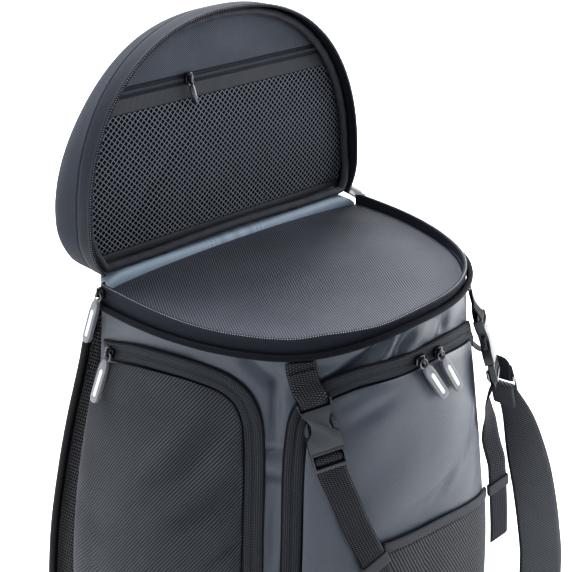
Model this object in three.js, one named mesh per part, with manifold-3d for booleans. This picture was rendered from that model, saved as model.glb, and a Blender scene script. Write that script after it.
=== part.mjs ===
import * as THREE from 'three';
import { mergeVertices } from 'three/addons/utils/BufferGeometryUtils.js';
import Module from 'manifold-3d';

const wasm = await Module();
wasm.setup();

// Gear bag standing on its base with the lid open. Millimetres, +Z up, front towards -Y.
const clothWall = 2;
const seamGap = 0.4;
const baseThick = 3;
const shellLow = 3.4;
const shellTop = 470.6;
const deckThick = 1.6;
const deckZ = 480;
const rimLow = 471;
const rimTop = 490;
const hingeY = 95;
const lidZ = 491.4;
const lidHalf = 167;
const lidHeight = 217;
const lidWidest = 35;
const lidTuck = 12;
const lidPower = 2.24;
const lidBandDeep = 20;
const zipWide = 17;
const zipThick = 2.6;
const webWide = 25;
const webThick = 1.4;
const pocketLow = 50;
const frontSwell = 18;
const sideSwell = 17;
const stationCount = 36;

const slots = {
  tarp: { color: 0x4b5562, roughness: 0.55, metalness: 0 },
  ballistic: { color: 0x23262c, roughness: 0.85, metalness: 0 },
  twill: { color: 0x2b2f37, roughness: 0.9, metalness: 0 },
  mesh: { color: 0x1d1f24, roughness: 0.9, metalness: 0 },
  ziptape: { color: 0x1b1e24, roughness: 0.8, metalness: 0 },
  piping: { color: 0x24282f, roughness: 0.7, metalness: 0 },
  trim: { color: 0x7d8b9c, roughness: 0.7, metalness: 0 },
  webbing: { color: 0x1f2227, roughness: 0.8, metalness: 0 },
  plastic: { color: 0x2a2d32, roughness: 0.45, metalness: 0 },
  slider: { color: 0x17181b, roughness: 0.4, metalness: 0.6 },
  rubber: { color: 0x50565f, roughness: 0.6, metalness: 0 },
  insert: { color: 0xe8eaec, roughness: 0.4, metalness: 0 },
  steel: { color: 0xb9bdc2, roughness: 0.3, metalness: 1 },
};

// Body sections: half width, line of greatest width, front and back reach, corner powers
const bodyRows = [
  { z: 0, half: 182, mid: 50, front: -130, back: 128, frontPow: 3.0, backPow: 5 },
  { z: 40, half: 198, mid: 50, front: -140, back: 136, frontPow: 3.0, backPow: 5 },
  { z: 100, half: 202, mid: 50, front: -143, back: 137, frontPow: 3.0, backPow: 5 },
  { z: 200, half: 198, mid: 55, front: -143, back: 130, frontPow: 2.9, backPow: 5 },
  { z: 300, half: 186, mid: 65, front: -142, back: 118, frontPow: 2.7, backPow: 5 },
  { z: 400, half: 172, mid: 75, front: -142, back: 104, frontPow: 2.5, backPow: 5 },
  { z: 470, half: 166, mid: 80, front: -142, back: 96, frontPow: 2.35, backPow: 5 },
  { z: 490, half: 165, mid: 80, front: -141, back: 95, frontPow: 2.35, backPow: 5 },
];

// Soft folds of the coated cloth: place, direction, half length, half width, depth
const folds = [
  { t: -42, z: 350, turn: 10, long: 16, wide: 9, deep: 1.6 },
  { t: -66, z: 458, turn: 8, long: 60, wide: 7, deep: 1.2 },
];

function cubic(a, b, c, d, f) {
  const m0 = (c - a) / 2;
  const m1 = (d - b) / 2;
  const f2 = f * f;
  const f3 = f2 * f;
  return (2 * f3 - 3 * f2 + 1) * b + (f3 - 2 * f2 + f) * m0 + (3 * f2 - 2 * f3) * c + (f3 - f2) * m1;
}

function tableAt(rows, key, x, field) {
  let i = 0;
  while (i < rows.length - 2 && x > rows[i + 1][key]) i += 1;
  const b = rows[i];
  const c = rows[i + 1];
  const f = THREE.MathUtils.clamp((x - b[key]) / (c[key] - b[key]), 0, 1);
  const span = c[key] - b[key];
  const slope = (p, q) => (q[field] - p[field]) / (q[key] - p[key]) * span;
  const before = i > 0 ? slope(rows[i - 1], c) : slope(b, c);
  const after = i < rows.length - 2 ? slope(b, rows[i + 2]) : slope(b, c);
  return cubic(c[field] - 2 * before, b[field], c[field], b[field] + 2 * after, f);
}

const rad = THREE.MathUtils.degToRad;
const vec = (x, y, z) => new THREE.Vector3(x, y, z);
const { lerp, smoothstep } = THREE.MathUtils;

// The seam under the rim climbs towards the right front; the zip edge dips at the left and lifts at the right
const seamClimb = 13.5;
const seamRise = (t) => seamClimb * smoothstep(t, -44, 4) * (1 - smoothstep(t, 40, 85));
const rimDip = 4;
const rimLift = 3.5;
const rimWave = (t) => rimLift * smoothstep(t, -14, 4) * (1 - smoothstep(t, 30, 60))
  - rimDip * (1 - smoothstep(t, -40, -26)) * smoothstep(t, -90, -60);

// The front pocket hangs lower towards the right
const pocketSink = (t, z) => smoothstep(z, 330, 436)
  * (5.2 * smoothstep(t, -20, -3) + 2.2 * smoothstep(t, 7, 22));

// Point on the body skin: t turns from the front (0) to the left (-90) or right (90) side
function skin(t, z, out = 0) {
  const s = Math.sin(rad(t));
  const c = Math.cos(rad(t));
  const at = (field) => tableAt(bodyRows, 'z', z, field);
  const mid = at('mid');
  const power = 2 / (c >= 0 ? at('frontPow') : at('backPow'));
  const deep = c >= 0 ? mid - at('front') : at('back') - mid;
  const x = (at('half') + out) * Math.sign(s) * Math.abs(s) ** power;
  const y = mid - (deep + out) * Math.sign(c) * Math.abs(c) ** power;
  return vec(x, y, z);
}

function skinFrame(t, z, out = 0) {
  const along = skin(t + 0.5, z, out).sub(skin(t - 0.5, z, out));
  const up = skin(t, z + 2, out).sub(skin(t, z - 2, out)).divideScalar(4);
  const normal = along.clone().cross(up).normalize();
  return { along, up, normal };
}

function foldAt(t, z) {
  let sum = 0;
  for (const fold of folds) {
    const dx = (t - fold.t) * 2.7;
    const dz = z - fold.z;
    const c = Math.cos(rad(fold.turn));
    const s = Math.sin(rad(fold.turn));
    const a = (dx * c + dz * s) / fold.long;
    const b = (dz * c - dx * s) / fold.wide;
    sum -= fold.deep * Math.exp(-a * a - b * b);
  }
  return sum;
}

const hump = (x, low, high, power) => {
  const f = THREE.MathUtils.clamp((x - low) / (high - low), 0, 1);
  return Math.sin(Math.PI * f) ** power;
};
const frontOut = (t, z) => 0.5 + frontSwell * hump(t, -34, 34, 0.75) * hump(z, 36, 447, 0.6);
const sideOut = (t, z) => 0.5 + sideSwell * hump(Math.abs(t), 50, 112, 0.6) * hump(z, 36, 446, 0.6);

const group = new THREE.Group();
group.name = 'gear_bag';

function signedVolume(points, faces) {
  let sum = 0;
  for (const [a, b, c] of faces) sum += points[a].dot(points[b].clone().cross(points[c]));
  return sum;
}

function addPart(name, slot, geometry) {
  geometry.computeVertexNormals();
  const mesh = new THREE.Mesh(geometry, new THREE.MeshStandardMaterial(slots[slot]));
  mesh.name = name;
  group.add(mesh);
}

function closedGeometry(points, faces) {
  const flip = signedVolume(points, faces) < 0;
  const geometry = new THREE.BufferGeometry();
  const flat = new Float32Array(points.length * 3);
  points.forEach((p, i) => p.toArray(flat, i * 3));
  geometry.setAttribute('position', new THREE.BufferAttribute(flat, 3));
  geometry.setIndex(faces.flatMap(([a, b, c]) => (flip ? [a, c, b] : [a, b, c])));
  return geometry;
}

// Skin a row of equal closed sections; an open row gets flat end caps
function loft(sections, loop = false) {
  const m = sections[0].length;
  const points = sections.flat();
  const faces = [];
  const quad = (a, b, c, d) => {  // split on the shorter diagonal, so both faces of a twisted strap agree
    const short = points[a].distanceTo(points[c]) < points[b].distanceTo(points[d]) + 1e-3;
    faces.push(...(short ? [[a, b, c], [a, c, d]] : [[a, b, d], [b, c, d]]));
  };
  const count = sections.length;
  for (let i = 0; i < (loop ? count : count - 1); i += 1) {
    const p = i * m;
    const q = ((i + 1) % count) * m;
    for (let k = 0; k < m; k += 1) {
      const n = (k + 1) % m;
      quad(p + k, p + n, q + n, q + k);
    }
  }
  if (!loop) {
    const last = (count - 1) * m;
    for (let k = 0; k < m / 2 - 1; k += 1) {
      quad(m - 1 - k, m - 2 - k, k + 1, k);
      quad(last + k, last + k + 1, last + m - 2 - k, last + m - 1 - k);
    }
  }
  return closedGeometry(points, faces);
}

// Two stacks of rings that close at their middle and meet at their first ring
function cup(outer, inner) {
  const m = outer[0].length;
  const points = [];
  const faces = [];
  const stack = (rings, turn) => {
    const start = points.length;
    rings.forEach((ring) => points.push(...ring));
    const last = rings[rings.length - 1];
    const middle = last.reduce((sum, p) => sum.add(p), vec(0, 0, 0)).divideScalar(m);
    points.push(middle);
    const push = (a, b, c) => faces.push(turn ? [a, c, b] : [a, b, c]);
    rings.forEach((ring, r) => {
      for (let k = 0; k < m; k += 1) {
        const a = start + r * m + k;
        const b = start + r * m + (k + 1) % m;
        if (r === rings.length - 1) {
          push(a, b, points.length - 1);
        } else {
          push(a, b, b + m);
          push(a, b + m, a + m);
        }
      }
    });
    return start;
  };
  const a = stack(outer, false);
  const b = stack(inner, true);
  for (let k = 0; k < m; k += 1) {
    const n = (k + 1) % m;
    faces.push([a + n, a + k, b + k], [a + n, b + k, b + n]);
  }
  return closedGeometry(points, faces);
}

// Path over the body given as rows of t and z, resampled evenly
function pathOn(rows, count) {
  const scale = 2.7;
  const curve = new THREE.CatmullRomCurve3(rows.map((r) => vec(r.t * scale, r.z, 0)), false, 'centripetal');
  curve.arcLengthDivisions = 400;
  const points = curve.getSpacedPoints(count);
  return points.map((p) => ({ t: p.x / scale, z: p.y }));
}

// Steps in t and z for one millimetre across the path, keeping to the skin
function acrossPath(path, i) {
  const a = path[Math.max(0, i - 1)];
  const b = path[Math.min(path.length - 1, i + 1)];
  const { along, up, normal } = skinFrame(path[i].t, path[i].z);
  const tangent = along.clone().multiplyScalar(b.t - a.t).addScaledVector(up, b.z - a.z).normalize();
  const side = normal.clone().cross(tangent);
  const aa = along.dot(along);
  const ab = along.dot(up);
  const bb = up.dot(up);
  const det = aa * bb - ab * ab;
  const sa = side.dot(along);
  const sb = side.dot(up);
  return { dt: (sa * bb - sb * ab) / det, dz: (sb * aa - sa * ab) / det };
}

function offsetPath(path, distance) {
  return path.map((p, i) => {
    const step = acrossPath(path, i);
    return { t: p.t + step.dt * distance, z: p.z + step.dz * distance };
  });
}

// Band that follows the skin: profile rows are across and out
function skinBand(path, profile, lift) {
  return loft(path.map((p, i) => {
    const step = acrossPath(path, i);
    return profile.map((row) => {
      const t = p.t + step.dt * row.across;
      const z = p.z + step.dz * row.across;
      return skin(t, z, lift(t, z) + row.out);
    });
  }));
}

// Flat ribbon along a list of points, with its width direction at each point
function ribbon(points, sides, widths, thick) {
  return loft(points.map((p, i) => {
    const a = points[Math.max(0, i - 1)];
    const b = points[Math.min(points.length - 1, i + 1)];
    const tangent = b.clone().sub(a).normalize();
    const side = sides[i].clone().addScaledVector(tangent, -sides[i].dot(tangent)).normalize();
    const face = side.clone().cross(tangent);
    const width = Array.isArray(widths) ? widths[i] : widths;
    const corner = (w, h) => p.clone().addScaledVector(side, w * width / 2)
      .addScaledVector(face, h * thick / 2);
    return [corner(-1, 1), corner(1, 1), corner(1, -1), corner(-1, -1)];
  }));
}

// Round cord through a list of points
function cord(points, radius, sidesCount, loop) {
  const count = points.length;
  return loft(points.map((p, i) => {
    const a = points[loop ? (i + count - 1) % count : Math.max(0, i - 1)];
    const b = points[loop ? (i + 1) % count : Math.min(count - 1, i + 1)];
    const tangent = b.clone().sub(a).normalize();
    const hint = Math.abs(tangent.y) < 0.8 ? vec(0, 1, 0) : vec(0, 0, 1);
    const side = hint.cross(tangent).normalize();
    const face = tangent.clone().cross(side);
    return Array.from({ length: sidesCount }, (unused, k) => {
      const turn = 2 * Math.PI * k / sidesCount;
      return p.clone().addScaledVector(side, radius * Math.cos(turn))
        .addScaledVector(face, radius * Math.sin(turn));
    });
  }), loop);
}

function range(count, low, high) {
  return Array.from({ length: count }, (unused, i) => lerp(low, high, i / (count - 1)));
}
const ring = Array.from({ length: stationCount }, (unused, i) => -180 + 360 * i / stationCount);

// Main bag
const shellZ = [shellLow, 22, 60, 125, 200, 275, 345, 405, 438, 454, shellTop];
addPart('body_shell', 'tarp', loft(ring.map((t) => {
  const column = shellZ.map((z) => (z === shellTop ? z + seamRise(t) : z));
  return [
    ...column.map((z) => skin(t, z, foldAt(t, z))),
    ...column.slice().reverse().map((z) => skin(t, z, foldAt(t, z) - clothWall)),
  ];
}), true));

const plateRing = (z, out, level, scale, wave) => ring.map((t) => {
  const p = skin(t, z, out);
  const x = p.x * scale;
  const y = lerp(-20, p.y, scale);
  return vec(x, y, level + wave(x, y));
});
const flat = () => 0;
addPart('base_panel', 'ballistic', cup(
  [plateRing(shellLow, 0, baseThick, 1, flat)],
  [plateRing(shellLow, 0, 0.8, 1, flat), plateRing(shellLow, 0, 0, 0.985, flat)],
));

// The deck sags between its seams and rises in two soft waves
const deckFull = 5;
const deckWave = (x, y) => {
  const reach = Math.max(0, 1 - (x / 165) ** 2 - ((y + 20) / 120) ** 2);
  const full = Math.max(0, 1 - (x / 150) ** 2) * smoothstep(y, 35, 92);
  return reach * (3.2 * Math.sin(x / 38 + y / 60) - 2) + deckFull * full;
};
const deckIn = -clothWall - seamGap;
const deckScales = [1, 0.84, 0.46];
addPart('top_panel', 'twill', cup(
  deckScales.map((s) => plateRing(deckZ, deckIn, deckZ, s, deckWave)),
  deckScales.map((s) => plateRing(deckZ, deckIn, deckZ - deckThick, s, deckWave)),
));

const rimProfile = [
  { out: 0, z: rimLow }, { out: 0, z: 486 }, { out: 1, z: 487.4 }, { out: 1, z: rimTop },
  { out: -clothWall, z: rimTop }, { out: -clothWall, z: 487.4 }, { out: -clothWall, z: 486 },
  { out: -clothWall, z: rimLow },
];
const rimStations = ring.filter((t) => Math.abs(t) < 115);
const rimRow = (t, z) => z + (z === rimLow ? seamRise(t) : rimWave(t));
const rimSection = (t) => rimProfile.map((row) => skin(t, rimRow(t, row.z), row.out));
addPart('rim_band', 'ziptape', loft(rimStations.map(rimSection)));
addPart('rim_piping', 'piping', cord(ring.map((t) => skin(t, shellTop + seamRise(t), 3.4)), 3, 5, true));

const gussetStations = [113, ...range(13, 120, 240), 247];
const gussetFade = (t) => (Math.abs(t - 180) / 67) ** 6;
const gussetRows = [
  { out: -0.2, z: rimLow }, { out: -0.2, z: 486 }, { out: 2.4, z: 490.4 }, { out: 21.4, z: 491.2 },
];
addPart('hinge_gusset', 'trim', loft(gussetStations.map((t) => {
  const fade = gussetFade(t);
  const at = (row, thin) => {
    const p = skin(t, Math.min(row.z, rimTop), Math.min(row.out, 0) - thin);
    const back = Math.max(row.out, 0) * (1 - fade);
    return vec(p.x, p.y + back, row.z - 9 * fade * (row.z - rimLow) / 20 + (row.out > 0 ? thin - 1.3 : 0));
  };
  const under = gussetRows.map((row) => at(row, 0));
  const over = gussetRows.map((row) => at(row, 1.3));
  return [...under, ...over.reverse()];
})));

// Lid, turned up about the hinge: u across, v up from the hinge, deep towards the back
const lidPoint = (u, v, deep) => vec(u, hingeY + deep, lidZ + v);
function lidArch(count) {
  const points = [];
  for (const q of [1, 0.66, 0.33]) points.push({ u: -lidHalf + lidTuck * q * q, v: lidWidest * (1 - q) });
  for (let i = 0; i <= count; i += 1) {
    const a = Math.PI * (1 - i / count);
    const c = Math.cos(a);
    const s = Math.sin(a);
    const u = lidHalf * Math.sign(c) * Math.abs(c) ** (2 / lidPower);
    points.push({ u, v: lidWidest + (lidHeight - lidWidest) * Math.abs(s) ** (2 / lidPower) });
  }
  for (const q of [0.33, 0.66, 1]) points.push({ u: lidHalf - lidTuck * q * q, v: lidWidest * (1 - q) });
  return points;
}
const lidCentre = { u: 0, v: 92 };
function pullIn(p, inset) {
  const du = p.u - lidCentre.u;
  const dv = p.v - lidCentre.v;
  const f = 1 - inset / Math.hypot(du, dv);
  return { u: lidCentre.u + du * f, v: lidCentre.v + dv * f };
}
const arch = lidArch(20);
const hingeLine = range(7, lidHalf - lidTuck, lidTuck - lidHalf).slice(1, -1).map((u) => ({ u, v: 0 }));
const lidLoop = [...arch, ...hingeLine];

// Lid crown: depth behind the zip and how far the outline has drawn in at the sides and at the far end
const crownRows = [
  { deep: lidBandDeep + seamGap, side: 0, far: 0 },
  { deep: 44, side: 0, far: 8 },
  { deep: 57, side: 2, far: 18 },
  { deep: 66, side: 8, far: 30 },
  { deep: 71, side: 20, far: 46 },
  { deep: 74, side: 50, far: 70 },
];
const crownRing = (row, thin) => lidLoop.map((p) => {
  const far = smoothstep(p.v, 40, 190);
  const q = pullIn(p, lerp(row.side, row.far, far) + thin);
  return lidPoint(q.u, q.v, row.deep - (row.deep > 50 ? thin : 0));
});
addPart('lid_shell', 'ballistic', cup(
  crownRows.map((row) => crownRing(row, 0)),
  crownRows.map((row) => crownRing(row, clothWall)),
));

const bandProfile = [
  { inset: -1, deep: 0 }, { inset: -1, deep: 2.6 }, { inset: 0, deep: 4 }, { inset: 0, deep: lidBandDeep },
  { inset: clothWall, deep: lidBandDeep }, { inset: clothWall, deep: 4 }, { inset: clothWall, deep: 2.6 },
  { inset: clothWall, deep: 0 },
];
addPart('lid_rim_band', 'ziptape', loft(arch.map((p) => bandProfile.map((row) => {
  const q = pullIn(p, row.inset);
  return lidPoint(q.u, q.v, row.deep);
}))));

const bindingRadius = 4.2;
const hingeRollDeep = 5.4;
const bindingLoop = lidLoop.map((p) => {
  const q = pullIn(p, clothWall + seamGap + bindingRadius + 0.4);
  const deep = lerp(hingeRollDeep, 12.6, smoothstep(p.v, 0, 45));
  return lidPoint(q.u, Math.max(q.v, bindingRadius + 0.6), deep);
});
addPart('lid_binding', 'piping', cord(bindingLoop, bindingRadius, 5, true));

// Inner face of the lid: rows of height with the half width the arch leaves there
const panelDeep = 19.6;
function archHalf(v) {
  if (v <= lidWidest) return lidHalf - lidTuck * (1 - v / lidWidest) ** 2;
  return lidHalf * (1 - ((v - lidWidest) / (lidHeight - lidWidest)) ** lidPower) ** (1 / lidPower);
}
const panelInset = clothWall + 2.4;
function lidPanel(rows, columns, sag) {
  return loft(rows.map((v) => {
    const half = archHalf(Math.min(v + 3, lidHeight - 3)) - panelInset;
    const us = range(columns, -half, half);
    const deep = (u) => panelDeep - sag(u / half, v);
    return [
      ...us.map((u) => lidPoint(u, v, deep(u) - 1.4)),
      ...us.slice().reverse().map((u) => lidPoint(u, v, deep(u))),
    ];
  }));
}
const meshSag = (f, v) => 4 * (1 - f * f) * hump(v, 2, 138, 0.8);
addPart('lid_mesh', 'mesh', lidPanel([3, 14, 36, 64, 92, 118, 136.4], 10, meshSag));
addPart('lid_pocket_band', 'webbing', lidPanel([136.8, 144, 151.2], 8, flat));
addPart('lid_pocket_zip', 'ziptape', lidPanel([151.6, 156, 160.4], 8, (f, v) => (v === 156 ? 1.2 : 0.2)));
const upperSag = (f, v) => 1.5 * (1 - f * f) * hump(v, 160, 209, 0.8);
addPart('lid_upper_panel', 'twill', lidPanel([160.8, 172, 184, 195, 203, 208], 10, upperSag));

// Pockets: zip paths over the skin, then panels that swell inside them
const zipProfile = [
  { across: -zipWide / 2, out: 0 }, { across: -zipWide / 2, out: 1.8 }, { across: -1.6, out: zipThick },
  { across: 1.6, out: zipThick }, { across: zipWide / 2, out: 1.8 }, { across: zipWide / 2, out: 0 },
];
const sideZipRows = [
  { t: -90, z: 431 }, { t: -83, z: 440 }, { t: -74, z: 445 }, { t: -65, z: 446 }, { t: -57, z: 442 },
  { t: -52, z: 432 }, { t: -49, z: 414 }, { t: -48, z: 390 }, { t: -46.6, z: 290 }, { t: -45.6, z: 200 },
  { t: -45, z: pocketLow },
];
const frontZipHalf = [
  { t: -32.6, z: pocketLow }, { t: -33.4, z: 200 }, { t: -34.6, z: 290 }, { t: -36, z: 390 },
  { t: -34.6, z: 420 }, { t: -30, z: 437 }, { t: -22, z: 446 }, { t: -10, z: 451 }, { t: 0, z: 452 },
];
const mirrored = (rows) => rows.map((r) => ({ ...r, t: -r.t }));
const frontZipRows = [...frontZipHalf, ...mirrored(frontZipHalf.slice(0, -1)).reverse()];
const onSkin = () => 0.95;
const sideZip = pathOn(sideZipRows, 27);
const levelZip = pathOn(frontZipRows, 40);
const frontZip = levelZip.map((p) => ({ t: p.t, z: p.z - pocketSink(p.t, p.z) }));
addPart('left_pocket_zip', 'ziptape', skinBand(sideZip, zipProfile, onSkin));
addPart('right_pocket_zip', 'ziptape', skinBand(mirrored(sideZip), zipProfile, onSkin));
addPart('front_pocket_zip', 'ziptape', skinBand(frontZip, zipProfile, onSkin));

const panelGap = zipWide / 2 + 0.7;
const sideLine = offsetPath(sideZip, -panelGap);
const sideEdge = sideLine.filter((p) => p.z > 388);
const lineT = (z) => tableAt(sideLine.filter((p) => p.t > -53).reverse(), 'z', z, 't');
const rearSlip = 15;
const sideRows = [0, 0.06, 0.16, 0.28, 0.42, 0.58, 0.74, 0.88, 1];
function sidePanel(hand) {
  const first = sideEdge[0].t;
  const last = sideEdge[sideEdge.length - 1].t;
  return loft(sideEdge.map((p) => {
    const slip = -rearSlip * Math.max(0, (last - p.t) / (last - first));
    const column = sideRows.map((v) => {
      const z = lerp(p.z, pocketLow, v);
      return { t: p.t + slip * (1 - (1 - v) ** 2.2) + lineT(Math.min(z, 388)) - lineT(388), z };
    });
    const edge = (t, z) => sideOut(t, z);
    return [
      ...column.map((q) => skin(hand * q.t, q.z, edge(q.t, q.z) + clothWall)),
      ...column.slice().reverse().map((q) => skin(hand * q.t, q.z, edge(q.t, q.z))),
    ];
  }));
}
addPart('left_pocket_panel', 'ballistic', sidePanel(1));
addPart('right_pocket_panel', 'ballistic', sidePanel(-1));

// Mesh gusset behind the left pocket, a wedge that opens downwards
const rearTop = 290;
const rearT = (z) => {
  const v = (sideEdge[0].z - z) / (sideEdge[0].z - pocketLow);
  return sideEdge[0].t - rearSlip * (1 - (1 - v) ** 2.2) + lineT(z) - lineT(388);
};
addPart('left_pocket_mesh', 'mesh', loft(range(7, rearTop, pocketLow).map((z) => {
  const wide = lerp(1.2, 6.5, (rearTop - z) / (rearTop - pocketLow));
  const ts = range(4, rearT(z) - 0.4, rearT(z) - 0.4 - wide);
  return [
    ...ts.map((t) => skin(t, z, sideOut(t, z) + 1.4)),
    ...ts.slice().reverse().map((t) => skin(t, z, sideOut(t, z))),
  ];
})));

const frontEdge = offsetPath(levelZip, -panelGap).filter((p, i) => p.t < -4 && (p.z > 380 || i % 3 === 0));
addPart('front_pocket_panel', 'tarp', loft(frontEdge.map((p) => {
  const ts = range(11, p.t, -p.t);
  return [
    ...ts.map((t) => skin(t, p.z - pocketSink(t, p.z), frontOut(t, p.z) + clothWall)),
    ...ts.slice().reverse().map((t) => skin(t, p.z - pocketSink(t, p.z), frontOut(t, p.z))),
  ];
})));

// Mesh flap over the lower front pocket and the binding along its upper edge
const flapEdge = [{ t: -9.4, z: 283.4 }, { t: 0, z: 279 }, { t: 12, z: 269 }, { t: 26, z: 255 }];
const flapPath = pathOn(flapEdge, 8);
const overFront = (t, z) => frontOut(t, z) + clothWall + 0.5;
addPart('flap_panel', 'mesh', loft(flapPath.map((p) => {
  const zs = range(7, p.z - 5.6, 66);
  return [
    ...zs.map((z) => skin(p.t, z, overFront(p.t, z) + 1.6)),
    ...zs.slice().reverse().map((z) => skin(p.t, z, overFront(p.t, z))),
  ];
})));
const bindProfile = [
  { across: -5, out: 0 }, { across: -5, out: 2.4 }, { across: 0, out: 3.2 },
  { across: 5, out: 2.4 }, { across: 5, out: 0 }, { across: 0, out: 0 },
];
addPart('flap_binding', 'piping', skinBand(flapPath, bindProfile, overFront));

// Padded back, thin at the top and full below, with piping round its outer edge
const padRows = [
  { z: 30, thick: 9 }, { z: 60, thick: 22 }, { z: 120, thick: 32 }, { z: 200, thick: 33 },
  { z: 280, thick: 31 }, { z: 340, thick: 27 }, { z: 400, thick: 19 }, { z: 432, thick: 13 },
  { z: 450, thick: 8 },
];
const padReach = 0.965;
function backSkinY(f, z) {
  const mid = tableAt(bodyRows, 'z', z, 'mid');
  const back = tableAt(bodyRows, 'z', z, 'back');
  const power = tableAt(bodyRows, 'z', z, 'backPow');
  return mid + (back - mid) * (1 - Math.abs(f) ** power) ** (1 / power);
}
function padPoint(f, z, face) {
  const half = tableAt(bodyRows, 'z', z, 'half');
  const back = tableAt(bodyRows, 'z', z, 'back');
  const thick = tableAt(padRows, 'z', z, 'thick');
  const outer = back + thick * (1 - 0.16 * Math.abs(f) ** 6) + 2.2 * Math.cos(f * 9) * hump(z, 40, 450, 0.5);
  const x = half * padReach * f;
  return vec(x, face ? outer : backSkinY(f * padReach, z) + 1.6, z);
}
const padColumns = [-1, -0.97, -0.91, -0.8, -0.6, -0.3, 0, 0.3, 0.6, 0.8, 0.91, 0.97, 1];
addPart('back_panel', 'mesh', loft(padRows.map((row) => [
  ...padColumns.map((f) => padPoint(f, row.z, true)),
  ...padColumns.slice().reverse().map((f) => padPoint(f, row.z, false)),
])));

const pipeRadius = 4.4;
const padTop = padRows[padRows.length - 1].z;
const pipeSide = (hand) => padRows.slice(0, -1).map((row) => {
  const p = padPoint(hand, row.z, true);
  return vec(p.x + hand * (pipeRadius + 0.7), p.y - pipeRadius * 0.4, row.z);
});
const pipeTurn = [{ side: 5.6, up: -8 }, { side: 4.4, up: 2.8 }, { side: -4, up: 5.8 }];
const pipeCorner = (hand) => pipeTurn.map((row) => {
  const p = padPoint(hand, padTop, true);
  return vec(p.x + hand * row.side, p.y - 2, padTop + row.up);
});
const topPipe = range(6, -0.88, 0.88).map((f) => padPoint(f, padTop, true).add(vec(0, -2, pipeRadius + 1)));
addPart('back_piping', 'piping', cord([
  ...pipeSide(-1), ...pipeCorner(-1), ...topPipe, ...pipeCorner(1).reverse(), ...pipeSide(1).reverse(),
], pipeRadius, 5, false));

// Hard parts: flat outlines given thickness, joined and cut
function toManifold(geometry) {
  const bare = geometry.clone();
  bare.deleteAttribute('normal');
  bare.deleteAttribute('uv');
  const merged = mergeVertices(bare, 1e-4);
  return new wasm.Manifold(new wasm.Mesh({
    numProp: 3,
    vertProperties: new Float32Array(merged.attributes.position.array),
    triVerts: new Uint32Array(merged.index.array),
  }));
}
function fromManifold(manifold) {
  const mesh = manifold.getMesh();
  const geometry = new THREE.BufferGeometry();
  geometry.setAttribute('position', new THREE.BufferAttribute(new Float32Array(mesh.vertProperties), 3));
  geometry.setIndex(Array.from(mesh.triVerts));
  return geometry;
}
function plate(outline, low, high) {
  const shape = new THREE.Shape(outline.map(([x, y]) => new THREE.Vector2(x, y)));
  const geometry = new THREE.ExtrudeGeometry(shape, { depth: high - low, bevelEnabled: false });
  return toManifold(geometry.translate(0, 0, low));
}
const box = (x0, x1, y0, y1, z0, z1) => plate([[x0, y0], [x1, y0], [x1, y1], [x0, y1]], z0, z1);
const bothSides = (right) => [...right, ...right.slice().reverse().map(([x, y]) => [-x, y])];

// Frame on the skin: x across, y up the strap, z outwards, turned about z and leaned about x
function skinPlace(t, z, out, turn, lean) {
  const { up, normal } = skinFrame(t, z, 0);
  const y = up.clone().addScaledVector(normal, -up.dot(normal)).normalize();
  const x = y.clone().cross(normal);
  return new THREE.Matrix4().makeBasis(x, y, normal)
    .setPosition(skin(t, z, out))
    .multiply(new THREE.Matrix4().makeRotationZ(rad(turn)))
    .multiply(new THREE.Matrix4().makeRotationX(rad(lean)));
}

// Side release buckle: waisted socket with two horns, and a framed plug with two prongs
const socketEdge = [
  [14.5, 0], [14.5, 10.5], [12.8, 13.5], [9.6, 17], [8, 21.5], [8, 25], [9.6, 29.5], [12.4, 34],
  [14, 39.5], [15, 45], [13.2, 45], [13, 38.2],
];
const socket = plate(bothSides(socketEdge), 0, 9)
  .subtract(box(-11.4, 11.4, -1, 15, 2.2, 6.8))
  .subtract(box(6, 11.4, 14, 19.5, 2.2, 6.8))
  .subtract(box(-11.4, -6, 14, 19.5, 2.2, 6.8))
  .add(box(-13.6, 13.6, 41.2, 44.4, 2.7, 6.1));
const prong = [
  [7, -1], [10.6, -1], [10.6, 15.4], [13.2, 14.6], [14.2, 16.2], [14, 19], [12.6, 23.4], [10.7, 27],
  [9.4, 27], [10.4, 22.5], [10.4, 18], [8.8, 13.5], [7, 10],
];
const plugEdge = [[13.4, -18.5], [14.4, -17], [14.8, -3], [14.8, -0.5]];
const plug = plate(bothSides(plugEdge), 2.2, 8)
  .add(plate(prong, 2.7, 6.3))
  .add(plate(prong.map(([x, y]) => [-x, y]).reverse(), 2.7, 6.3))
  .add(box(-2, 2, -1, 13, 2.7, 6.3))
  .subtract(box(-12.9, 12.9, -15.2, -3.4, -1, 10))
  .subtract(box(-12.9, 12.9, -30, -11.6, -1, 4.2))
  .add(box(-13.6, 13.6, -10.8, -8, 3.4, 6.2));

// Webbing through the buckle: along it and height over its underside
const upperWeb = [
  { y: 48, z: 1.0 }, { y: 42.4, z: 1.1 }, { y: 40, z: 2.2 }, { y: 39.3, z: 4.4 }, { y: 40, z: 6.6 },
  { y: 42.4, z: 7.8 }, { y: 47, z: 6.8 },
];
const lowerWeb = [
  { y: -26, z: 2.6 }, { y: -17, z: 2.7 }, { y: -14, z: 3.3 }, { y: -12.7, z: 5 }, { y: -11.6, z: 6.9 },
  { y: -10.2, z: 7.3 }, { y: -8.6, z: 7.3 }, { y: -7.2, z: 6.9 }, { y: -6.1, z: 5 }, { y: -6.2, z: 2.2 },
  { y: -7.8, z: 0.9 }, { y: -17, z: 0.7 }, { y: -24, z: 0.6 },
];
const leftRun = [
  { t: -24.2, z: 362 }, { t: -20.8, z: 340 }, { t: -16.4, z: 308 }, { t: -13, z: 284 }, { t: -10.4, z: 262 },
  { t: -8, z: 236 }, { t: -6, z: 210 },
];
const rightRun = [
  { t: 30, z: 358 }, { t: 29.4, z: 330 }, { t: 28.6, z: 300 }, { t: 28, z: 274 }, { t: 28.4, z: 245 },
  { t: 29, z: 218 }, { t: 29.6, z: 193 },
];
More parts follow.
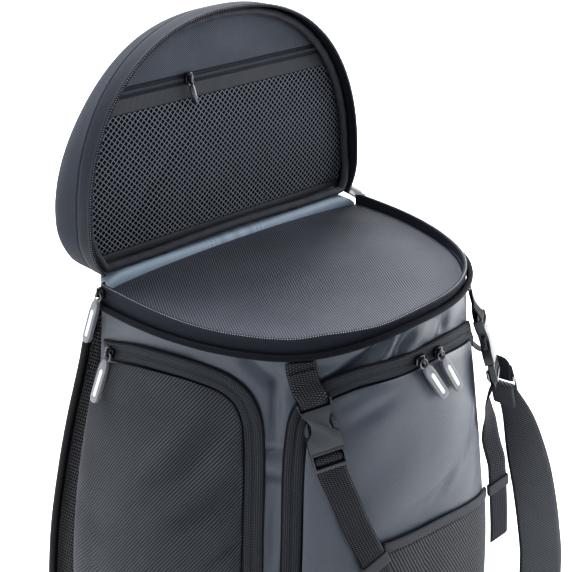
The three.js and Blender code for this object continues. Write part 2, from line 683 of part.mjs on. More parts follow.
const leftRise = [{ t: -35.8, z: 466.4 }, { t: -35.5, z: 459 }, { t: -34.3, z: 447 }];
const rightRise = [{ t: 36, z: 477.4 }, { t: 35.7, z: 465 }, { t: 35.2, z: 452 }];
const strapSet = [
  {
    name: 'left', t: -28, z: 394, out: 9, turn: 18, lean: -4, lift: [2.6, 6.2], swing: 0, keeper: 280,
    rise: leftRise, run: leftRun,
  },
  {
    name: 'right', t: 31.5, z: 398, out: 16, turn: -7, lean: -13, lift: [9.4, 13.6], swing: -30, keeper: 263,
    rise: rightRise, run: rightRun,
  },
];
const keeperLoop = [[-12.9, -1.1], [12.9, -1.1], [12.9, 1.1], [-12.9, 1.1]];
const keeperThick = 1.2;
const keeperLong = 12;
for (const strap of strapSet) {
  const frame = skinPlace(strap.t, strap.z, strap.out, strap.turn, strap.lean);
  const xAxis = vec(1, 0, 0).transformDirection(frame);
  const place = (row) => vec(0, row.y, row.z).applyMatrix4(frame);
  const across = (rows) => rows.map(() => xAxis);
  const sidesOn = (path) => path.map((p, i) => {
    const step = acrossPath(path, i);
    const side = skin(p.t + step.dt, p.z + step.dz).sub(skin(p.t, p.z)).normalize();
    return side.multiplyScalar(Math.sign(side.dot(xAxis)));
  });
  const layer = (lift) => strap.rise.map((p, i) => skin(p.t, p.z, lift + strap.out * 0.06 * i * i));
  const inner = layer(1.6);
  const outer = layer(3.4).slice(1).reverse();
  const riseSides = sidesOn(strap.rise);
  const upperPoints = [...inner, ...upperWeb.map(place), ...outer];
  const upperSides = [...riseSides, ...across(upperWeb), ...riseSides.slice(1).reverse()];
  addPart(`strap_upper_${strap.name}`, 'webbing', ribbon(upperPoints, upperSides, webWide, webThick));
  addPart(`buckle_female_${strap.name}`, 'plastic', fromManifold(socket).applyMatrix4(frame));
  addPart(`buckle_male_${strap.name}`, 'plastic', fromManifold(plug).applyMatrix4(frame));
  const run = pathOn(strap.run, 12);
  const lift = (z) => lerp(strap.lift[1], strap.lift[0], smoothstep(z, 288, 316));
  const runPoints = run.map((p) => skin(p.t, p.z, overFront(p.t, p.z) + lift(p.z)));
  const swung = (p) => rad(strap.swing) * smoothstep(strap.run[0].z - p.z, 0, 40);
  const runSides = sidesOn(run).map((side, i) => side.applyAxisAngle(vec(0, 0, 1), swung(run[i])));
  const lowerPoints = [...lowerWeb.map(place), ...runPoints];
  const lowerSides = [...across(lowerWeb), ...runSides];
  addPart(`strap_lower_${strap.name}`, 'webbing', ribbon(lowerPoints, lowerSides, webWide, webThick));
  const miss = (p) => Math.abs(p.z - strap.keeper);
  const k = run.reduce((best, p, i) => (miss(p) < miss(run[best]) ? i : best), 1);
  const down = runPoints[k + 1].clone().sub(runPoints[k - 1]).normalize();
  const side = runSides[k].clone().addScaledVector(down, -runSides[k].dot(down)).normalize();
  const face = side.clone().cross(down);
  const corner = (w, h, along, grow) => runPoints[k].clone().addScaledVector(side, w + Math.sign(w) * grow)
    .addScaledVector(face, h + Math.sign(h) * grow).addScaledVector(down, along * keeperLong / 2);
  addPart(`strap_keeper_${strap.name}`, 'webbing', loft(keeperLoop.map(([w, h]) => [
    corner(w, h, -1, 0), corner(w, h, 1, 0), corner(w, h, 1, keeperThick), corner(w, h, -1, keeperThick),
  ]), true));
}

// Zip sliders: plate on the zip, bridge over the ring of the puller, pale strip let into the puller
const pullLong = 41;
function capsule(half, low, high) {
  const turns = range(5, 0, Math.PI);
  return [
    ...turns.map((a) => [half * Math.cos(a), high - half + half * Math.sin(a)]),
    ...turns.map((a) => [-half * Math.cos(a), low + half - half * Math.sin(a)]),
  ];
}
function wireRing(radius, wire, at) {
  return toManifold(new THREE.TorusGeometry(radius, wire, 5, 8).translate(0, at, 0));
}
const tongueEdge = [[2.2, -7], [4.2, -11], [5, -17], [5, -43], [3.8, -47], [1.6, -7 - pullLong]];
const tongue = plate(bothSides(tongueEdge).reverse(), -1.9, 1.9)
  .subtract(plate(capsule(2.2, -43, -16), 1, 3))
  .add(wireRing(4.2, 0.8, -4.2));
const inlay = plate(capsule(1.9, -42.7, -16.3), 1.2, 2.3);
const bridge = box(-1.2, 1.2, -3.8, 3.8, -3, 2.3).subtract(box(-3, 3, -2.5, 2.5, -1.1, 1.1));
const sliderPlate = plate([[-4, -4.5], [4, -4.5], [4.6, 2], [2.6, 6], [-2.6, 6], [-4.6, 2]], 0, 2.6)
  .subtract(box(-3, 3, -3, 3, 1.5, 4));

// Frame of a hanging puller: y up towards the slider, z away from the bag
function pullFrame(from, to, normal) {
  const y = from.clone().sub(to).normalize();
  const z = normal.clone().addScaledVector(y, -normal.dot(y)).normalize();
  return new THREE.Matrix4().makeBasis(y.clone().cross(z), y, z).setPosition(from);
}
const moved = (manifold, frame) => manifold.transform(frame.toArray());

// Slider rows: place on the zip, height of the zip there, turn of the plate, place and height of the tip;
// a puller with a back length is flipped over and lies backwards instead of hanging
const sliderRows = [
  { name: 'lid_left', t: -91, z: 484, top: 1.4, turn: 90, tipT: -93, tipZ: 436, tipOut: 16 },
  { name: 'lid_right', t: 91, z: 484, top: 1.4, turn: -90, back: 45 },
  { name: 'left_pocket', t: -88.4, z: 433.6, top: 3.85, turn: 74, tipT: -89.5, tipZ: 386, tipOut: 21.5 },
  { name: 'front_left', t: -0.5, z: 446.8, top: 3.65, turn: 90, tipT: 4.6, tipZ: 398, tipOut: 18 },
  { name: 'front_right', t: 4.3, z: 446.5, top: 3.65, turn: -90, tipT: 10, tipZ: 396, tipOut: 18 },
];
for (const row of sliderRows) {
  const seat = skinPlace(row.t, row.z, row.top, row.turn, 0);
  const { normal } = skinFrame(row.t, row.z);
  const eye = skin(row.t, row.z, row.top).addScaledVector(normal, 3.6);
  const tip = row.back ? eye.clone().add(vec(6, row.back, 4)) : skin(row.tipT, row.tipZ, row.tipOut);
  const hang = pullFrame(eye, tip, row.back ? normal.clone().negate() : normal);
  const slider = moved(sliderPlate, seat).add(moved(bridge, pullFrame(eye, tip, normal)));
  addPart(`${row.name}_slider`, 'slider', fromManifold(slider));
  addPart(`${row.name}_pull`, 'rubber', fromManifold(tongue).applyMatrix4(hang));
  addPart(`${row.name}_insert`, 'insert', fromManifold(inlay).applyMatrix4(hang));
}

const lidZipAt = lidPoint(-40, 156, panelDeep - 2.9);
const lidSeat = new THREE.Matrix4().makeBasis(vec(1, 0, 0), vec(0, 0, 1), vec(0, -1, 0))
  .setPosition(lidZipAt);
const lidHang = lidSeat.clone().multiply(new THREE.Matrix4().makeTranslation(0, 0, 3.6))
  .multiply(new THREE.Matrix4().makeRotationZ(rad(14)));
const lidSlider = moved(sliderPlate, lidSeat).add(moved(bridge, lidHang));
addPart('lid_pocket_slider', 'slider', fromManifold(lidSlider));
const barPull = plate(bothSides([[1.5, -25], [2.6, -23], [2.6, -8], [1.6, -5]]), -0.7, 0.7)
  .add(wireRing(3, 0.7, -3));
addPart('lid_pocket_pull', 'slider', fromManifold(barPull).applyMatrix4(lidHang));

// Shoulder strap at the right side: wire ring on a sewn loop, strap folded round it, far end sewn low
const ringAt = vec(164, -113, 350);
const strapTurn = 12;
const strapAcross = (turn) => vec(-Math.sin(rad(turn)), Math.cos(rad(turn)), 0);
const ringX = strapAcross(strapTurn);
const ringUp = vec(-0.42, 0.05, 0.9);
const ringY = ringUp.addScaledVector(ringX, -ringUp.dot(ringX)).normalize();
const ringZ = ringX.clone().cross(ringY);
const ringFrame = new THREE.Matrix4().makeBasis(ringX, ringY, ringZ).setPosition(ringAt);
const ringHalf = { wide: 15.5, high: 8, wire: 1.9, corner: 4 };
const ringLoop = [];
for (const [sx, sy, start] of [[1, 1, 0], [-1, 1, 90], [-1, -1, 180], [1, -1, 270]]) {
  for (const turn of [0, 45, 90]) {
    const a = rad(start + turn);
    const x = sx * (ringHalf.wide - ringHalf.corner) + ringHalf.corner * Math.cos(a);
    const y = sy * (ringHalf.high - ringHalf.corner) + ringHalf.corner * Math.sin(a);
    ringLoop.push(vec(x, y, 0).applyMatrix4(ringFrame));
  }
}
addPart('shoulder_ring', 'steel', cord(ringLoop, ringHalf.wire, 6, true));

// Folds round the two bars of the ring: height along the ring and height over it
const foldRows = [
  { y: 34, z: -2.9 }, { y: 12, z: -2.9 }, { y: 7, z: -2.9 }, { y: 5, z: -1.8 }, { y: 4.4, z: 0 },
  { y: 5, z: 1.8 }, { y: 7, z: 2.9 }, { y: 12, z: 2.9 }, { y: 26, z: 1.2 },
];
const anchorRows = [{ t: 43, z: 410 }, { t: 43.4, z: 398 }];
const anchorFold = foldRows.map((row) => vec(0, row.y, row.z).applyMatrix4(ringFrame));
const anchorPoints = [...anchorRows.map((p) => skin(p.t, p.z, 4.7)), ...anchorFold];
const anchorSide = skinFrame(43, 404).along.normalize();
const anchorSides = [anchorSide, anchorSide, ...anchorFold.map(() => ringX)];
addPart('shoulder_anchor', 'webbing', ribbon(anchorPoints, anchorSides, webWide, webThick));

// Strap rows: middle of the strap, turn of its width and the width itself
const strapRows = [
  { x: 184, y: -121, z: 306, turn: 14, wide: 36 }, { x: 197, y: -127, z: 258, turn: 22, wide: 44 },
  { x: 206, y: -133, z: 215, turn: 30, wide: 44 }, { x: 214, y: -138, z: 168, turn: 36, wide: 44 },
  { x: 221, y: -141, z: 119, turn: 37, wide: 44 }, { x: 226, y: -136, z: 70, turn: 26, wide: 44 },
  { x: 219, y: -118, z: 34, turn: 4, wide: 44 }, { x: 200, y: -102, z: 18, turn: -18, wide: 44 },
];
const strapFold = foldRows.map((row) => vec(0, -row.y, row.z).applyMatrix4(ringFrame));
const strapEnd = [{ t: 56, z: 22, out: 2 }, { t: 56, z: 34, out: 1.5 }].map((p) => skin(p.t, p.z, p.out));
const endSide = skinFrame(56, 30).along.normalize();
const strapPoints = [...strapFold.slice(0, -1), ...strapRows.map((r) => vec(r.x, r.y, r.z)), ...strapEnd];
const strapSides = [
  ...strapFold.slice(0, -1).map(() => ringX), ...strapRows.map((r) => strapAcross(r.turn)), endSide, endSide,
];
const strapWides = [...strapFold.slice(0, -1).map(() => 25), ...strapRows.map((r) => r.wide), 44, 44];
addPart('shoulder_strap', 'webbing', ribbon(strapPoints, strapSides, strapWides, 2));

export default group;
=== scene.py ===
import math

import bmesh
import bpy
import numpy as np
from mathutils import Matrix, Vector


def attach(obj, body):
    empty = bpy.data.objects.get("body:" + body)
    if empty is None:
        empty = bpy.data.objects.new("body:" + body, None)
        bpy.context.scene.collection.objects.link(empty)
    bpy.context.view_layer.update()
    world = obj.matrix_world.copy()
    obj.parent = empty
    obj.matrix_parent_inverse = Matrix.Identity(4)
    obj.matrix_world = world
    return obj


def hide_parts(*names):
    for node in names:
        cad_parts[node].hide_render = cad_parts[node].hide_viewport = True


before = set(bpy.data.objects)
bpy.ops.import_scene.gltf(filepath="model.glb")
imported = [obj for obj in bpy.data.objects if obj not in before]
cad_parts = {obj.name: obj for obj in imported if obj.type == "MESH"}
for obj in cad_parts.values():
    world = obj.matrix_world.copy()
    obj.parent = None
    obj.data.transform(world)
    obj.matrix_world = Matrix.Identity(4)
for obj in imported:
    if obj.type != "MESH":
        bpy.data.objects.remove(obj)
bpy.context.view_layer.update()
mm = 0.001  # the tables below are in millimetres, the meshes in metres
print("frame loaded:", len(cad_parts), "nodes")


# Studio: camera at the photo's angle, pale floor, soft light
studio = {
    "azimuth": -43, "elevation": 24.8, "aim": (0, 95, 490),
    "away": 1210, "slideRight": 48.2, "slideDown": 51.3,
    "lensPx": 1248, "framePx": 572, "sensor": 36, "clipEnd": 50,
    "floorHalf": 9, "floorTone": 0.92, "floorRough": 0.9, "worldTone": 0.3,
    "sunPower": 0.25, "sunSpread": 80, "sunFrom": (-0.25, -0.3, 1),
}
lamps = {  # place, aim and width in metres, power in watts
    "leftBox": ((-2.1, 0.0, 0.9), (0, 0, 0.4), 1.2, 10),
    "rightBox": ((2.2, -0.9, 0.85), (0, 0, 0.4), 2.2, 58),
    "frontBox": ((-1.3, -1.9, 2.0), (0, 0, 0.5), 1.2, 7),
    "backBox": ((1.5, 1.6, 1.4), (0, 0, 0.4), 1.9, 17),
    "backTop": ((0.1, 2.0, 2.8), (0.1, 1.2, 0), 3.5, 190),
}


def linked(name, data):
    obj = bpy.data.objects.new(name, data)
    bpy.context.collection.objects.link(obj)
    return obj


def makeCamera():
    turn, rise = math.radians(studio["azimuth"]), math.radians(studio["elevation"])
    back = Vector((math.sin(turn) * math.cos(rise), -math.cos(turn) * math.cos(rise), math.sin(rise)))
    right = Vector((math.cos(turn), math.sin(turn), 0))
    up = back.cross(right)
    place = Vector(studio["aim"]) + back * studio["away"]
    place += right * studio["slideRight"] - up * studio["slideDown"]
    camera = linked("camera", bpy.data.cameras.new("camera"))
    camera.data.sensor_width = studio["sensor"]
    camera.data.lens = studio["lensPx"] / studio["framePx"] * studio["sensor"]
    camera.data.clip_end = studio["clipEnd"]
    spin = Matrix((right, up, back)).transposed().to_4x4()
    camera.matrix_world = Matrix.Translation(place * mm) @ spin
    bpy.context.scene.camera = camera


def newLight(name, kind, at, aim, power):
    lamp = linked(name, bpy.data.lights.new(name, kind))
    lamp.data.energy = power
    lamp.location = at
    lamp.rotation_euler = (Vector(aim) - lamp.location).to_track_quat("-Z", "Y").to_euler()
    return lamp.data


def makeLight():
    for name, (at, aim, size, power) in lamps.items():
        light = newLight(name, "AREA", at, aim, power)
        light.shape = "DISK"
        light.size = size
    sun = newLight("softSun", "SUN", studio["sunFrom"], (0, 0, 0), studio["sunPower"])
    sun.angle = math.radians(studio["sunSpread"])
    world = bpy.data.worlds.new("paleRoom")
    world.use_nodes = True
    sky = world.node_tree.nodes["Background"].inputs
    sky["Color"].default_value = (1, 1, 1, 1)
    sky["Strength"].default_value = studio["worldTone"]
    bpy.context.scene.world = world
    bpy.context.scene.view_settings.view_transform = "Standard"
    bpy.context.scene.view_settings.look = "High Contrast"


def makeFloor():
    half = studio["floorHalf"]
    mesh = bpy.data.meshes.new("floor")
    corners = [(-half, -half, 0), (half, -half, 0), (half, half, 0), (-half, half, 0)]
    mesh.from_pydata(corners, [], [(0, 1, 2, 3)])
    floor = linked("floor", mesh)
    paint = bpy.data.materials.new("floorPaint")
    paint.use_nodes = True
    shade = paint.node_tree.nodes["Principled BSDF"]
    shade.inputs["Base Color"].default_value = (studio["floorTone"],) * 3 + (1,)
    shade.inputs["Roughness"].default_value = studio["floorRough"]
    mesh.materials.append(paint)


makeCamera()
makeLight()
makeFloor()
print("studio ready")


# Form of the bag: sections by height, then points on the skin
sections = {
    "z": (0, 40, 100, 200, 300, 400, 470, 490),
    "half": (182, 198, 202, 198, 186, 172, 166, 165),
    "mid": (50, 50, 50, 55, 65, 75, 80, 80),  # the widest line
    "front": (-130, -140, -143, -143, -142, -142, -142, -141),
    "back": (128, 136, 137, 130, 118, 104, 96, 95),
    "frontPower": (3.0, 3.0, 3.0, 2.9, 2.7, 2.5, 2.35, 2.35), "backPower": 5,
}
shape = {
    "clothWall": 2, "clear": 0.5, "shellLow": 3.4, "shellTop": 470.6, "deckZ": 480, "rimLow": 471, "rimTop": 490,
    "hingeY": 95, "zipWide": 17, "webWide": 25, "webThick": 1.4, "pocketLow": 50,
    "girthStep": 2.7,  # millimetres of girth in one degree
    "girthSteps": 1441, "girthZ": 250.0, "curveSteps": 24,
}
swells = {  # height, then where it rises and falls in degrees, or its span and power across and upward
    "seam": (13.5, (-44, 4, 40, 85)), "rimLift": (3.5, (-14, 4, 30, 60)), "rimDip": (4, (-90, -60, -40, -26)),
    "front": (18, (-34, 34, 0.75), (36, 447, 0.6)), "side": (17, (50, 112, 0.6), (36, 446, 0.6)),
    "sinkZ": (330, 436), "sinkT": ((5.2, -20, -3), (2.2, 7, 22)),
}


def hermite(f, a, b, leave, reach):
    f2, f3 = f * f, f * f * f
    return (2 * f3 - 3 * f2 + 1) * a + (f3 - 2 * f2 + f) * leave + (3 * f2 - 2 * f3) * b + (f3 - f2) * reach


def tableAt(table, field, z):  # smooth curve through a table's values
    keys, values = np.array(table["z"], float), np.array(table[field], float)
    z = np.asarray(z, float)
    last = len(keys) - 2
    i = np.clip(np.searchsorted(keys, z, side="left") - 1, 0, last)
    span = keys[i + 1] - keys[i]
    f = np.clip((z - keys[i]) / span, 0, 1)
    a, b = values[i], values[i + 1]
    low, high = np.maximum(i - 1, 0), np.minimum(i + 2, last + 1)
    leave = np.where(i > 0, (b - values[low]) / (keys[i + 1] - keys[low]) * span, b - a)
    reach = np.where(i < last, (values[high] - a) / (keys[high] - keys[i]) * span, b - a)
    return hermite(f, a, b, leave, reach)


def floats(*values):
    return np.broadcast_arrays(*[np.asarray(value, float) for value in values])


def powered(x, power):
    return np.sign(x) * np.abs(x) ** power


def skin(t, z, out=0.0):  # t turns from the front (0) to the left (-90) or right (90) side
    t, z, out = floats(t, z, out)
    s, c = np.sin(np.radians(t)), np.cos(np.radians(t))
    half, mid, front, back = (tableAt(sections, field, z) for field in ("half", "mid", "front", "back"))
    power = 2 / np.where(c >= 0, tableAt(sections, "frontPower", z), sections["backPower"])
    deep = np.where(c >= 0, mid - front, back - mid)
    return np.stack([(half + out) * powered(s, power), mid - (deep + out) * powered(c, power), z], -1)


def unit(v):
    return v / np.maximum(np.linalg.norm(v, axis=-1, keepdims=True), 1e-12)


def skinFrame(t, z):  # steps for one degree along and one millimetre up, and the way out
    t, z = np.asarray(t, float), np.asarray(z, float)
    along = skin(t + 0.5, z) - skin(t - 0.5, z)
    up = (skin(t, z + 2) - skin(t, z - 2)) / 4
    return along, up, unit(np.cross(along, up))


def share(x, low, high):
    return np.clip((np.asarray(x, float) - low) / (high - low), 0, 1)


def hump(x, low, high, power):
    return np.sin(np.pi * share(x, low, high)).clip(0) ** power


def smoothStep(x, low, high):
    f = share(x, low, high)
    return f * f * (3 - 2 * f)


def lerp(a, b, f):
    return a + (b - a) * f


def raised(t, name):
    high, (a, b, c, d) = swells[name]
    return high * smoothStep(t, a, b) * (1 - smoothStep(t, c, d))


def seamRise(t):  # the seam under the rim climbs towards the right front
    return raised(t, "seam")


def rimWave(t):  # the zip edge dips at the left and lifts at the right
    return raised(t, "rimLift") - raised(t, "rimDip")


def pocketSink(t, z):  # the front pocket hangs lower towards the right
    return smoothStep(z, *swells["sinkZ"]) * sum(deep * smoothStep(t, *span) for deep, *span in swells["sinkT"])


def swollen(t, z, name):
    high, across, upward = swells[name]
    return shape["clear"] + high * hump(t, *across) * hump(z, *upward)


def frontOut(t, z):
    return swollen(t, z, "front")


def sideOut(t, z):
    return swollen(np.abs(t), z, "side")


def overFront(t, z):
    return frontOut(t, z) + shape["clothWall"] + shape["clear"]


def pressed(rows, t, z):  # soft folds and dents: place t and z, turn, half length, half width, depth
    total = 0
    for t0, z0, turn, long, wide, deep in rows:
        dx, dz = (t - t0) * shape["girthStep"], z - z0
        c, s = math.cos(math.radians(turn)), math.sin(math.radians(turn))
        a, b = (dx * c + dz * s) / long, (dz * c - dx * s) / wide
        total = total - deep * np.exp(-a * a - b * b)
    return total


def lengthAlong(points):
    return np.concatenate([[0], np.cumsum(np.linalg.norm(np.diff(points, axis=0), axis=1))])


girthT = np.linspace(-180, 180, shape["girthSteps"])
girthAt = lengthAlong(skin(girthT, shape["girthZ"]))
girthAt -= np.interp(0, girthT, girthAt)


def skinUv(t, z):  # cloth coordinates in metres: girth from the front line, and height
    t, z = floats(t, z)
    return np.stack([np.interp(t, girthT, girthAt) * mm, z * mm], -1)


def flatUv(across, along):
    return np.stack(np.meshgrid(across * mm, along * mm), -1)


def evenSteps(points, count, endpoint=True):
    at = lengthAlong(points)
    steps = np.linspace(0, at[-1], count, endpoint=endpoint)
    return np.stack([np.interp(steps, at, column) for column in points.T], -1)


def smoothPath(points, count):  # even steps along a centripetal curve through the points
    p = np.asarray(points, float)
    steps = np.maximum(np.linalg.norm(np.diff(p, axis=0), axis=1) ** 0.5, 1e-6)
    q = np.vstack([2 * p[0] - p[1], p, 2 * p[-1] - p[-2]])
    h = np.concatenate([[steps[0]], steps, [steps[-1]]])
    f = np.linspace(0, 1, shape["curveSteps"], endpoint=False)[:, None]
    dense = []
    for i in range(1, len(q) - 2):
        a, b, c, d = q[i - 1:i + 3]
        ha, hb, hc = h[i - 1:i + 2]
        leave = ((b - a) / ha - (c - a) / (ha + hb) + (c - b) / hb) * hb
        reach = ((c - b) / hb - (d - b) / (hb + hc) + (d - c) / hc) * hb
        dense.append(hermite(f, b, c, leave, reach))
    return evenSteps(np.vstack(dense + [p[-1:]]), count)


def pathOn(rows, count):  # a smooth path in t and z
    scale = np.array([shape["girthStep"], 1])
    return smoothPath(np.array(rows, float) * scale, count) / scale


def acrossPath(path):  # steps in t and z for one millimetre across the path
    along, up, normal = skinFrame(*path.T)
    way = np.gradient(path, axis=0)
    tangent = unit(along * way[:, :1] + up * way[:, 1:])
    side = np.cross(normal, tangent)
    aa, ab, bb = (along * along).sum(-1), (along * up).sum(-1), (up * up).sum(-1)
    sa, sb = (side * along).sum(-1), (side * up).sum(-1)
    det = aa * bb - ab * ab
    return np.stack([(sa * bb - sb * ab) / det, (sb * aa - sa * ab) / det], -1)


def offsetPath(path, distance):
    return path + acrossPath(path) * distance


def bandOn(path, across):  # t and z of a band that follows a path
    step = acrossPath(path)
    return path[:, :1] + step[:, :1] * across, path[:, 1:] + step[:, 1:] * across


# Mesh makers: walls, cups, lofts, and hard pieces taken from the frame
def quads(at):
    return np.stack([at[:-1, :-1], at[:-1, 1:], at[1:, 1:], at[1:, :-1]], -1).reshape(-1, 4)


def strip(first, second):
    return np.stack([first[:-1], first[1:], second[1:], second[:-1]], -1)


def numbered(grid):
    return np.arange(grid.shape[0] * grid.shape[1]).reshape(grid.shape[:2])


def wrapped(grid):
    return np.concatenate([grid, grid[:, :1]], 1)


def meshFrom(points, faces, corners, uv):  # corners number the uv of each face corner
    mesh = bpy.data.meshes.new("piece")
    mesh.from_pydata((np.asarray(points) * mm).tolist(), [], [list(face) for face in faces])
    layer = mesh.uv_layers.new(name="cloth")
    order = np.concatenate([np.asarray(face) for face in corners])
    layer.data.foreach_set("uv", np.asarray(uv, float).reshape(-1, 2)[order].astype(np.float32).ravel())
    mesh.polygons.foreach_set("use_smooth", np.ones(len(mesh.polygons), bool))
    return mesh


def wallMesh(outer, inner, uv, around=False):  # closed sheet between two grids of points
    rows, cols = outer.shape[:2]
    count = rows * cols
    at, uvAt = numbered(outer), numbered(uv)
    if around:
        at = wrapped(at)
    faces, corners = [quads(at), quads(at)[:, ::-1] + count], [quads(uvAt), quads(uvAt)[:, ::-1]]
    edges = [(at[0][::-1], uvAt[0][::-1]), (at[-1], uvAt[-1])]
    if not around:
        edges += [(at[:, 0], uvAt[:, 0]), (at[:, -1][::-1], uvAt[:, -1][::-1])]
    for line, uvLine in edges:
        faces.append(strip(line, line + count))
        corners.append(strip(uvLine, uvLine))
    faces, corners = np.vstack(faces), np.vstack(corners)
    points = np.concatenate([outer.reshape(-1, 3), inner.reshape(-1, 3)])
    r, c = rows // 2, cols // 2
    normal = np.cross(outer[r, c] - outer[r, c - 1], outer[r, c] - outer[r - 1, c])
    if normal @ (outer[r, c] - inner[r, c]) > 0:
        faces, corners = faces[:, ::-1], corners[:, ::-1]
    return meshFrom(points, faces, corners, uv)


def volumeOf(points, faces):
    total = 0
    for face in faces:
        for second, third in zip(face[1:3], face[2:4]):
            total += points[face[0]] @ np.cross(points[second], points[third])
    return total


def cupMesh(outer, inner, uvOuter, uvInner):  # two stacks of rings, each closed at its middle
    rings, m = outer.shape[:2]
    half = rings * m + 1

    def stacked(*grids):
        return np.vstack([part for g in grids for part in (g.reshape(half - 1, -1), g[-1].mean(0)[None])])

    points, uv = stacked(outer, inner), stacked(uvOuter, uvInner)
    at = wrapped(numbered(outer))
    shell = [list(face) for face in quads(at)]
    shell += [[at[-1, k], at[-1, k + 1], half - 1] for k in range(m)]
    faces = shell + [[v + half for v in face][::-1] for face in shell]
    faces += [list(face) for face in strip(at[0][::-1], at[0][::-1] + half)]
    if volumeOf(points, faces) < 0:
        faces = [face[::-1] for face in faces]
    return meshFrom(points, faces, faces, uv)


def loftMesh(rings, uv=None, loop=False):  # equal closed sections in a row
    points = rings.reshape(-1, 3)
    at = numbered(rings)
    if loop:
        at = np.vstack([at, at[:1]])
    at = wrapped(at)
    if uv is None:
        long = lengthAlong(rings.mean(1))
        if loop:
            long = np.append(long, long[-1] + np.linalg.norm(rings[-1].mean(0) - rings[0].mean(0)))
        uv = flatUv(lengthAlong(np.vstack([rings[0], rings[0][:1]])), long)
    uvAt = numbered(uv)
    faces = [list(face) for face in quads(at)]
    corners = [list(face) for face in quads(uvAt)]
    if not loop:
        faces += [list(at[0, :-1][::-1]), list(at[-1, :-1])]
        corners += [list(uvAt[0, :-1][::-1]), list(uvAt[-1, :-1])]
    if volumeOf(points, [face for face in faces if len(face) == 4]) < 0:
        faces, corners = [face[::-1] for face in faces], [face[::-1] for face in corners]
    return meshFrom(points, faces, corners, uv)


meshing = {"upright": 0.9, "tapeEdge": 14}  # steepest start of a path, squareness of a strap's edge


def ringFrames(path, loop):  # steady side and face directions along a path
    if loop:
        tangents = unit(np.roll(path, -1, 0) - np.roll(path, 1, 0))
    else:
        tangents = unit(np.gradient(path, axis=0))
    hint = np.array([0, 0, 1.0]) if abs(tangents[0][2]) < meshing["upright"] else np.array([0, 1.0, 0])
    side = unit(np.cross(tangents[0], hint))
    sides = []
    for tangent in tangents:
        side = unit(side - tangent * (side @ tangent))
        sides.append(side)
    sides = np.array(sides)
    if loop:  # spread the leftover twist over the loop
        first, last = sides[0], sides[-1] - tangents[0] * (sides[-1] @ tangents[0])
        miss = math.atan2(np.cross(last, first) @ tangents[0], last @ first)
        turns = miss * np.arange(len(path)) / len(path)
        sides = sides * np.cos(turns)[:, None] + np.cross(tangents, sides) * np.sin(turns)[:, None]
    return sides, np.cross(tangents, sides)


def tubeMesh(path, radius, around, loop=False, ripple=None):
    sides, faces = ringFrames(path, loop)
    turn = np.linspace(0, 2 * np.pi, around, endpoint=False)
    size = np.full((len(path), around), float(radius))
    if ripple is not None:
        size = size + ripple(lengthAlong(path)[:, None], turn[None])
    ring = sides[:, None] * np.cos(turn)[None, :, None] + faces[:, None] * np.sin(turn)[None, :, None]
    return loftMesh(path[:, None] + ring * size[..., None], loop=loop)


def tapeMesh(path, sides, widths, thick, crown=0.0, columns=9):  # flat strap with rounded edges
    tangents = unit(np.gradient(path, axis=0))
    sides = unit(sides - tangents * (sides * tangents).sum(-1, keepdims=True))
    faces = np.cross(sides, tangents)
    widths = np.broadcast_to(np.asarray(widths, float), (len(path),))
    f = np.linspace(-1, 1, columns)
    edge = np.sqrt(np.clip(1 - np.abs(f) ** meshing["tapeEdge"], 0, 1)) * thick / 2
    lift, drop = (sign * edge + crown * (1 - f * f) for sign in (1, -1))
    across = np.concatenate([f, f[::-1][1:-1]])
    height = np.concatenate([lift, drop[::-1][1:-1]])
    rings = path[:, None] + sides[:, None] * (across[None, :, None] * widths[:, None, None] / 2)
    rings = rings + faces[:, None] * height[None, :, None]
    flat = np.append(across, across[0])[None] * widths[:, None] / 2 * mm
    uv = np.stack([flat, np.broadcast_to(lengthAlong(path)[:, None] * mm, flat.shape)], -1)
    return loftMesh(rings, uv)


def evaluated(obj):  # plain mesh of an object with its modifiers, then the object goes
    bpy.context.view_layer.update()
    mesh = bpy.data.meshes.new_from_object(obj.evaluated_get(bpy.context.evaluated_depsgraph_get()))
    bpy.data.objects.remove(obj, do_unlink=True)
    return mesh


def addPiece(name, mesh, finish, slot, *nodes):
    mesh.name = name
    mesh.materials.clear()
    mesh.materials.append(finishes[finish])
    piece = linked(name, mesh)
    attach(piece, "root")
    if nodes:
        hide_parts(*nodes)
    return piece


easing = {"weld": 2e-5, "flatAngle": 2, "edgeAngle": 32, "sharpAngle": 38}  # metres and degrees


def addHard(node, finish, slot, width, segments=2):  # a node's solid with its edges eased
    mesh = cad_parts[node].data.copy()
    form = bmesh.new()
    form.from_mesh(mesh)
    bmesh.ops.remove_doubles(form, verts=form.verts, dist=easing["weld"])
    flat = math.radians(easing["flatAngle"])
    bmesh.ops.dissolve_limit(form, angle_limit=flat, verts=form.verts, edges=form.edges)
    form.to_mesh(mesh)
    form.free()
    obj = linked(node + "Raw", mesh)
    ease = obj.modifiers.new("easedEdges", "BEVEL")
    ease.width = width * mm
    ease.segments = segments
    ease.limit_method = "ANGLE"
    ease.angle_limit = math.radians(easing["edgeAngle"])
    ease.use_clamp_overlap = True
    mesh = evaluated(obj)
    mesh.polygons.foreach_set("use_smooth", np.ones(len(mesh.polygons), bool))
    mesh.set_sharp_from_angle(angle=math.radians(easing["sharpAngle"]))
    addPiece(node + "_eased", mesh, finish, slot, node)


def asSheet(piece, grid, restsOn, flat=None):  # measures the widest and longest runs of its grid unless a size is given; the sizes are not used further
    if flat is None:
        wide = np.linalg.norm(np.diff(grid, axis=1), axis=2).sum(1).max() * mm
        long = np.linalg.norm(np.diff(grid, axis=0), axis=2).sum(0).max() * mm
        flat = (wide, long)


# Geometry Nodes: small pieces in a row along lines, and net strands
def newNode(tree, kind, values=(), **settings):
    node = tree.nodes.new(kind)
    for label, value in settings.items():
        setattr(node, label, value)
    for label, value in dict(values).items():
        node.inputs[label].default_value = value
    return node


def wired(tree, rows):  # from node, its output, to node, its input
    for start, output, end, entry in rows:
        tree.links.new(start.outputs[output], end.inputs[entry])


